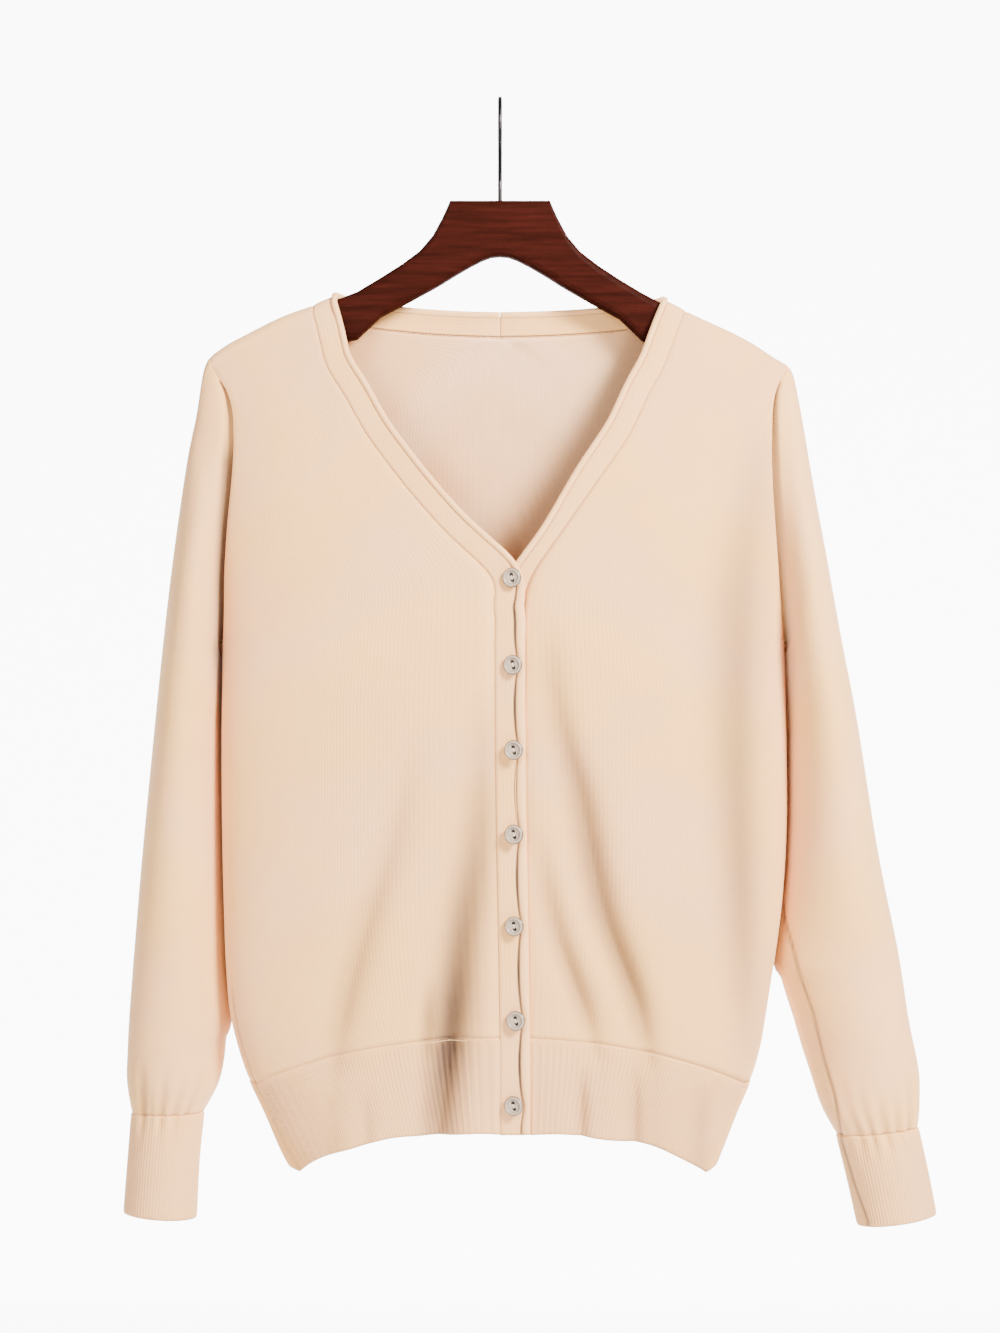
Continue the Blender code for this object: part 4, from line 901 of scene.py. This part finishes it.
# ----------------------------------------
# Trims: the free edge of each band is a few rows of plain knit that roll up on themselves into
# a soft cord, with a narrow shadowed groove beside the band.
TRIM_RADIUS = 2.2
trim_knit = knit_material("rolled plain knit", "#f0b573", 0.0013, 0.0011, 0.4)
for side, worn in SIDES:
    outward, inward = frames[side]
    path = paths[side]
    sink = np.clip(np.abs(path[:, 1:2]) - 8.8, 0.1, 1.3)
    open_by = gape(side, path[:, 2], path[:, 1])[:, None]
    place = BAND_WIDTH + TRIM_RADIUS - BOW / 2 * open_by - 0.4 * np.clip(path[:, 1:2] / 6, 0, 1)
    place = place + extra_width(side, path[:, 2], path[:, 1])[:, None]
    centre = path + inward * place - outward * sink
    centre[-1, 0] = side * 0.15
    turn = np.linspace(0, 2 * np.pi, 15)[:, None]
    flat = (1 + BOW / 2 / TRIM_RADIUS * open_by)[:, None]
    ring = flat * np.cos(turn) * inward[:, None] + np.sin(turn) * outward[:, None]
    ring[-1, :, 0] = 0.0
    thin = 1 - 0.45 * np.clip(path[:, 1] / 6, 0, 1)[:, None, None]
    grid = centre[:, None] + ring * TRIM_RADIUS
    grid -= outward[:, None] * ((grid - centre[:, None]) * outward[:, None]).sum(
        axis=2, keepdims=True) * (1 - thin)
    grid[:, -1] = grid[:, 0]
    points = np.concatenate([centre[:1], grid[:, :-1].reshape(-1, 3), centre[-1:]])
    rows = len(centre)
    tube = tube_quads(rows, 14, 1)
    ring = 1 + np.arange(14)
    first = np.stack([0 * ring, ring, np.roll(ring, -1)], axis=1)
    last = np.stack([0 * ring + len(points) - 1, first[:, 2] + 14 * (rows - 1),
                     ring + 14 * (rows - 1)], axis=1)
    if side == LEFT:
        tube, first, last = tube[:, ::-1], first[:, ::-1], last[:, ::-1]
    mesh = bpy.data.meshes.new(f"{worn}_trim_roll")
    mesh.from_pydata((points * 0.001).tolist(), [], tube.tolist() + first.tolist()
                     + last.tolist())
    mesh.shade_smooth()
    # Painted shadow on the side of the roll that faces the band, darker where the groove gapes
    shadow = np.clip((-np.cos(turn[:-1, 0]) - 0.72) / 0.2, 0, 1) * (0.2 + 0.7 * open_by)
    mark = mesh.attributes.new("painted_shade", "FLOAT", "POINT")
    mark.data.foreach_set("value", np.concatenate([[0], shadow.ravel(), [0]]))
    mesh.materials.append(trim_knit)
    hang(mesh, f"{worn}_trim")

# ----------------------------------------
# Hanger and hook: a red-brown stained and varnished wooden hanger with a flat-cut top, and a
# thin dark wire hook set in it, seen from its edge.
wood, tree, shader = new_material("stained varnished hardwood", {"Roughness": 0.5,
                                                                 "Specular IOR Level": 0.02})
place = add_node(tree, "TexCoord")
stretch = add_node(tree, "Mapping", {"Vector": place.outputs["Object"],
                                     "Scale": (18.0, 300.0, 300.0)})
grain = add_node(tree, "TexNoise", {"Vector": stretch.outputs[0], "Scale": 1.0, "Detail": 6.0,
                 "Roughness": 0.65})
tone = add_node(tree, "MapRange", {0: grain.outputs[0], 1: 0.3, 2: 0.7})
mix = add_node(tree, "Mix", {"Factor": tone.outputs[0], 6: linear("#1d0703"), 7: linear("#32100a")},
               data_type="RGBA")
tree.links.new(mix.outputs[2], shader.inputs["Base Color"])
wire = new_material("dark coated steel wire", {"Base Color": linear("#1c1918"), "Metallic": 0.8,
                                               "Roughness": 0.4})[0]
for name, finish in (("hanger", wood), ("hook", wire)):
    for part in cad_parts[name].material_slots:
        part.material = finish

# ----------------------------------------
# Buttons: small greyish discs of pearly polyester, turned with a raised rim and drilled with two
# holes. Each is sewn to the left band with two strands of beige thread.
BUTTON_RADIUS = 6.5
BUTTON_SHIFTS = np.array([0.0, 0.6, 1.2, 1.3, 1.5, 2.6, 1.2])
# Polished plastic: a small crisp glint on the rim
pearl, tree, shader = new_material("pearly polyester", {"Roughness": 0.3,
                                                        "Specular IOR Level": 0.4})
place = add_node(tree, "TexCoord")
swirl = add_node(tree, "TexNoise", {"Vector": place.outputs["Object"], "Scale": 190.0,
                 "Detail": 2.0})
sheen = add_node(tree, "Mix", {"Factor": swirl.outputs[0], 6: linear("#b49e85"),
                 7: linear("#a48f7e")}, data_type="RGBA")
# Painted shade: the attribute darkens the rim's edge, the holes and the underside towards this dark
# brown
painted_shade = add_node(tree, "Attribute", attribute_name="painted_shade")
mix = add_node(tree, "Mix", {"Factor": painted_shade.outputs["Fac"], 6: sheen.outputs[2],
               7: linear("#2b2220")}, data_type="RGBA")
tree.links.new(mix.outputs[2], shader.inputs["Base Color"])
thread = new_material("beige sewing thread", {"Base Color": linear("#e6cdb0"),
                                              "Roughness": 0.7})[0]


def button_disc():
    """Rings of a button about its own middle: x, y on its face and height; then its painted shade.

    The face is level, swells to a round rim and drops at the edge; the holes are steep pits.
    """
    reach = np.concatenate([np.linspace(0.02, BUTTON_RADIUS, 36), [6.62, 6.5, 5.6, 0.02]])
    turn = np.linspace(0, 2 * np.pi, 64, endpoint=False)
    high = 1.6 + 1.0 * np.exp(-(((reach - 5.3) / 0.8) ** 4))
    high[36:] = (1.2, 0.6, 0.0, 0.0)
    x = reach[:, None] * np.cos(turn)
    y = reach[:, None] * np.sin(turn)
    pit = sum(1 / (1 + np.exp((np.hypot(x, y - middle) - 1.3) / 0.08)) for middle in (-2.0, 2.0))
    pit[36:] = 0
    # Painted shade round the edge of the rim and in a ring inside it; the holes and the underside get
    # painted shade too
    edge = (np.exp(-(((reach - 6.55) / 0.55) ** 2)) + 0.4 * np.exp(-(((reach - 4.4) / 0.45) ** 2)))
    edge[36:] = 0.5
    mark = np.clip(pit + edge[:, None], 0, 1)
    return np.stack([x, y, high[:, None] - 1.5 * pit], axis=-1), mark


def strand(shift):
    """A thread from hole to hole: a half circle of rise, in rings of eight."""
    along = np.linspace(-1, 1, 17)[:, None]
    turn = np.linspace(0, 2 * np.pi, 8, endpoint=False)
    rise = 0.55 * np.sqrt(np.clip(1 - along**2, 0, 1)) ** 0.7
    return np.stack([shift + 0.2 * np.cos(turn) + 0 * along, 1.4 * along + 0 * turn,
                     1.05 + rise + 0.2 * np.sin(turn)], axis=-1)


disc, painted_button_shade = button_disc()
strands = [strand(-0.24), strand(0.24)]
faces, start = [], 0
for grid in [disc] + strands:
    rows, columns = grid.shape[:2]
    faces.append(tube_quads(rows, columns, start)[:, [0, 3, 2, 1]])
    start += rows * columns
points = np.concatenate([disc.reshape(-1, 3)] + [grid.reshape(-1, 3) for grid in strands])
tilt, roll = np.radians(20), np.radians(14)
across = np.array([np.cos(tilt), -np.sin(tilt), 0])
facing = np.array([-np.sin(tilt), -np.cos(tilt), 0])
for number, (height, shift) in enumerate(zip(BUTTON_HEIGHTS, BUTTON_SHIFTS), start=1):
    seat = body_face(LEFT, angle_at(LEFT, 8.2 + shift, height, False), height)
    seat = seat + (0, -(BUTTON_RADIUS * np.sin(tilt) + 0.9), 0)
    spun = (points[:, 0] * np.cos(roll) - points[:, 1] * np.sin(roll),
            points[:, 0] * np.sin(roll) + points[:, 1] * np.cos(roll))
    placed = (seat + spun[0][:, None] * across + spun[1][:, None] * np.array([0, 0, 1])
              + points[:, 2:] * facing)
    mesh = bpy.data.meshes.new(f"button_{number}_turned")
    mesh.from_pydata((placed * 0.001).tolist(), [], np.concatenate(faces).tolist())
    mark = mesh.attributes.new("painted_shade", "FLOAT", "POINT")
    mark.data.foreach_set("value", np.concatenate([painted_button_shade.ravel(),
                                                   np.zeros(len(points) - painted_button_shade.size)]))
    mesh.materials.append(pearl)
    mesh.materials.append(thread)
    mesh.polygons.foreach_set("material_index", np.repeat([0, 1], [len(faces[0]),
                              2 * len(faces[1])]).astype(np.int32))
    mesh.shade_smooth()
    hang(mesh, f"button_{number}")

# ----------------------------------------
# Room: a pale floor that curves up into a wall far behind, even light and the camera.
reach = np.linspace(0, 1, 80)
floor_y = -3 + 7.2 * reach**0.8
floor_z = 3.4 * np.clip((floor_y - 1.4) / 2.8, 0, 1) ** 3 - 1.2
points = np.array([(x, y, z) for y, z in zip(floor_y, floor_z) for x in (-4.0, 4.0)])
mesh = bpy.data.meshes.new("floor")
mesh.from_pydata(points.tolist(), [], quads(80, 2, 0).tolist())
mesh.shade_smooth()
floor = bpy.data.objects.new("floor", mesh)
bpy.context.scene.collection.objects.link(floor)
# Matt white paper, lit from behind the part: only the far end glows, so the front keeps its shade
paper, tree, shader = new_material("white paper", {
    "Base Color": linear("#f4f4f4"), "Roughness": 0.95, "Specular IOR Level": 0.1,
    "Emission Color": linear("#ffffff")})
place = add_node(tree, "TexCoord")
split = add_node(tree, "SeparateXYZ", {0: place.outputs["Object"]})
glow = add_node(tree, "MapRange", {0: split.outputs[1], 1: 0.8, 2: 1.8, 3: 0.0, 4: 8.6})
tree.links.new(glow.outputs[0], shader.inputs["Emission Strength"])
mesh.materials.append(paper)

world = bpy.data.worlds.new("soft room")
bpy.context.scene.world = world
world.use_nodes = True
world.node_tree.nodes["Background"].inputs[0].default_value = (1.0, 1.0, 1.0, 1.0)
world.node_tree.nodes["Background"].inputs[1].default_value = 0.32
for name, place, size, power in (("key", (1.55, -1.65, 1.05), 0.7, 305),
                                 ("left", (-1.1, -2.2, 0.4), 1.2, 70)):
    data = bpy.data.lights.new(name, "AREA")
    data.size = size
    data.energy = power
    lamp = bpy.data.objects.new(name, data)
    bpy.context.scene.collection.objects.link(lamp)
    lamp.location = place
    lamp.rotation_euler = (Vector((0, 0, -0.4)) - lamp.location).to_track_quat("-Z", "Y").to_euler()

view = bpy.data.cameras.new("camera")
view.lens = 79.4
view.sensor_width = 36.0
camera = bpy.data.objects.new("camera", view)
camera.location = (0.0, -2.0, -0.3846)
camera.rotation_euler = (np.pi / 2, 0.0, 0.0)
bpy.context.scene.collection.objects.link(camera)
bpy.context.scene.camera = camera
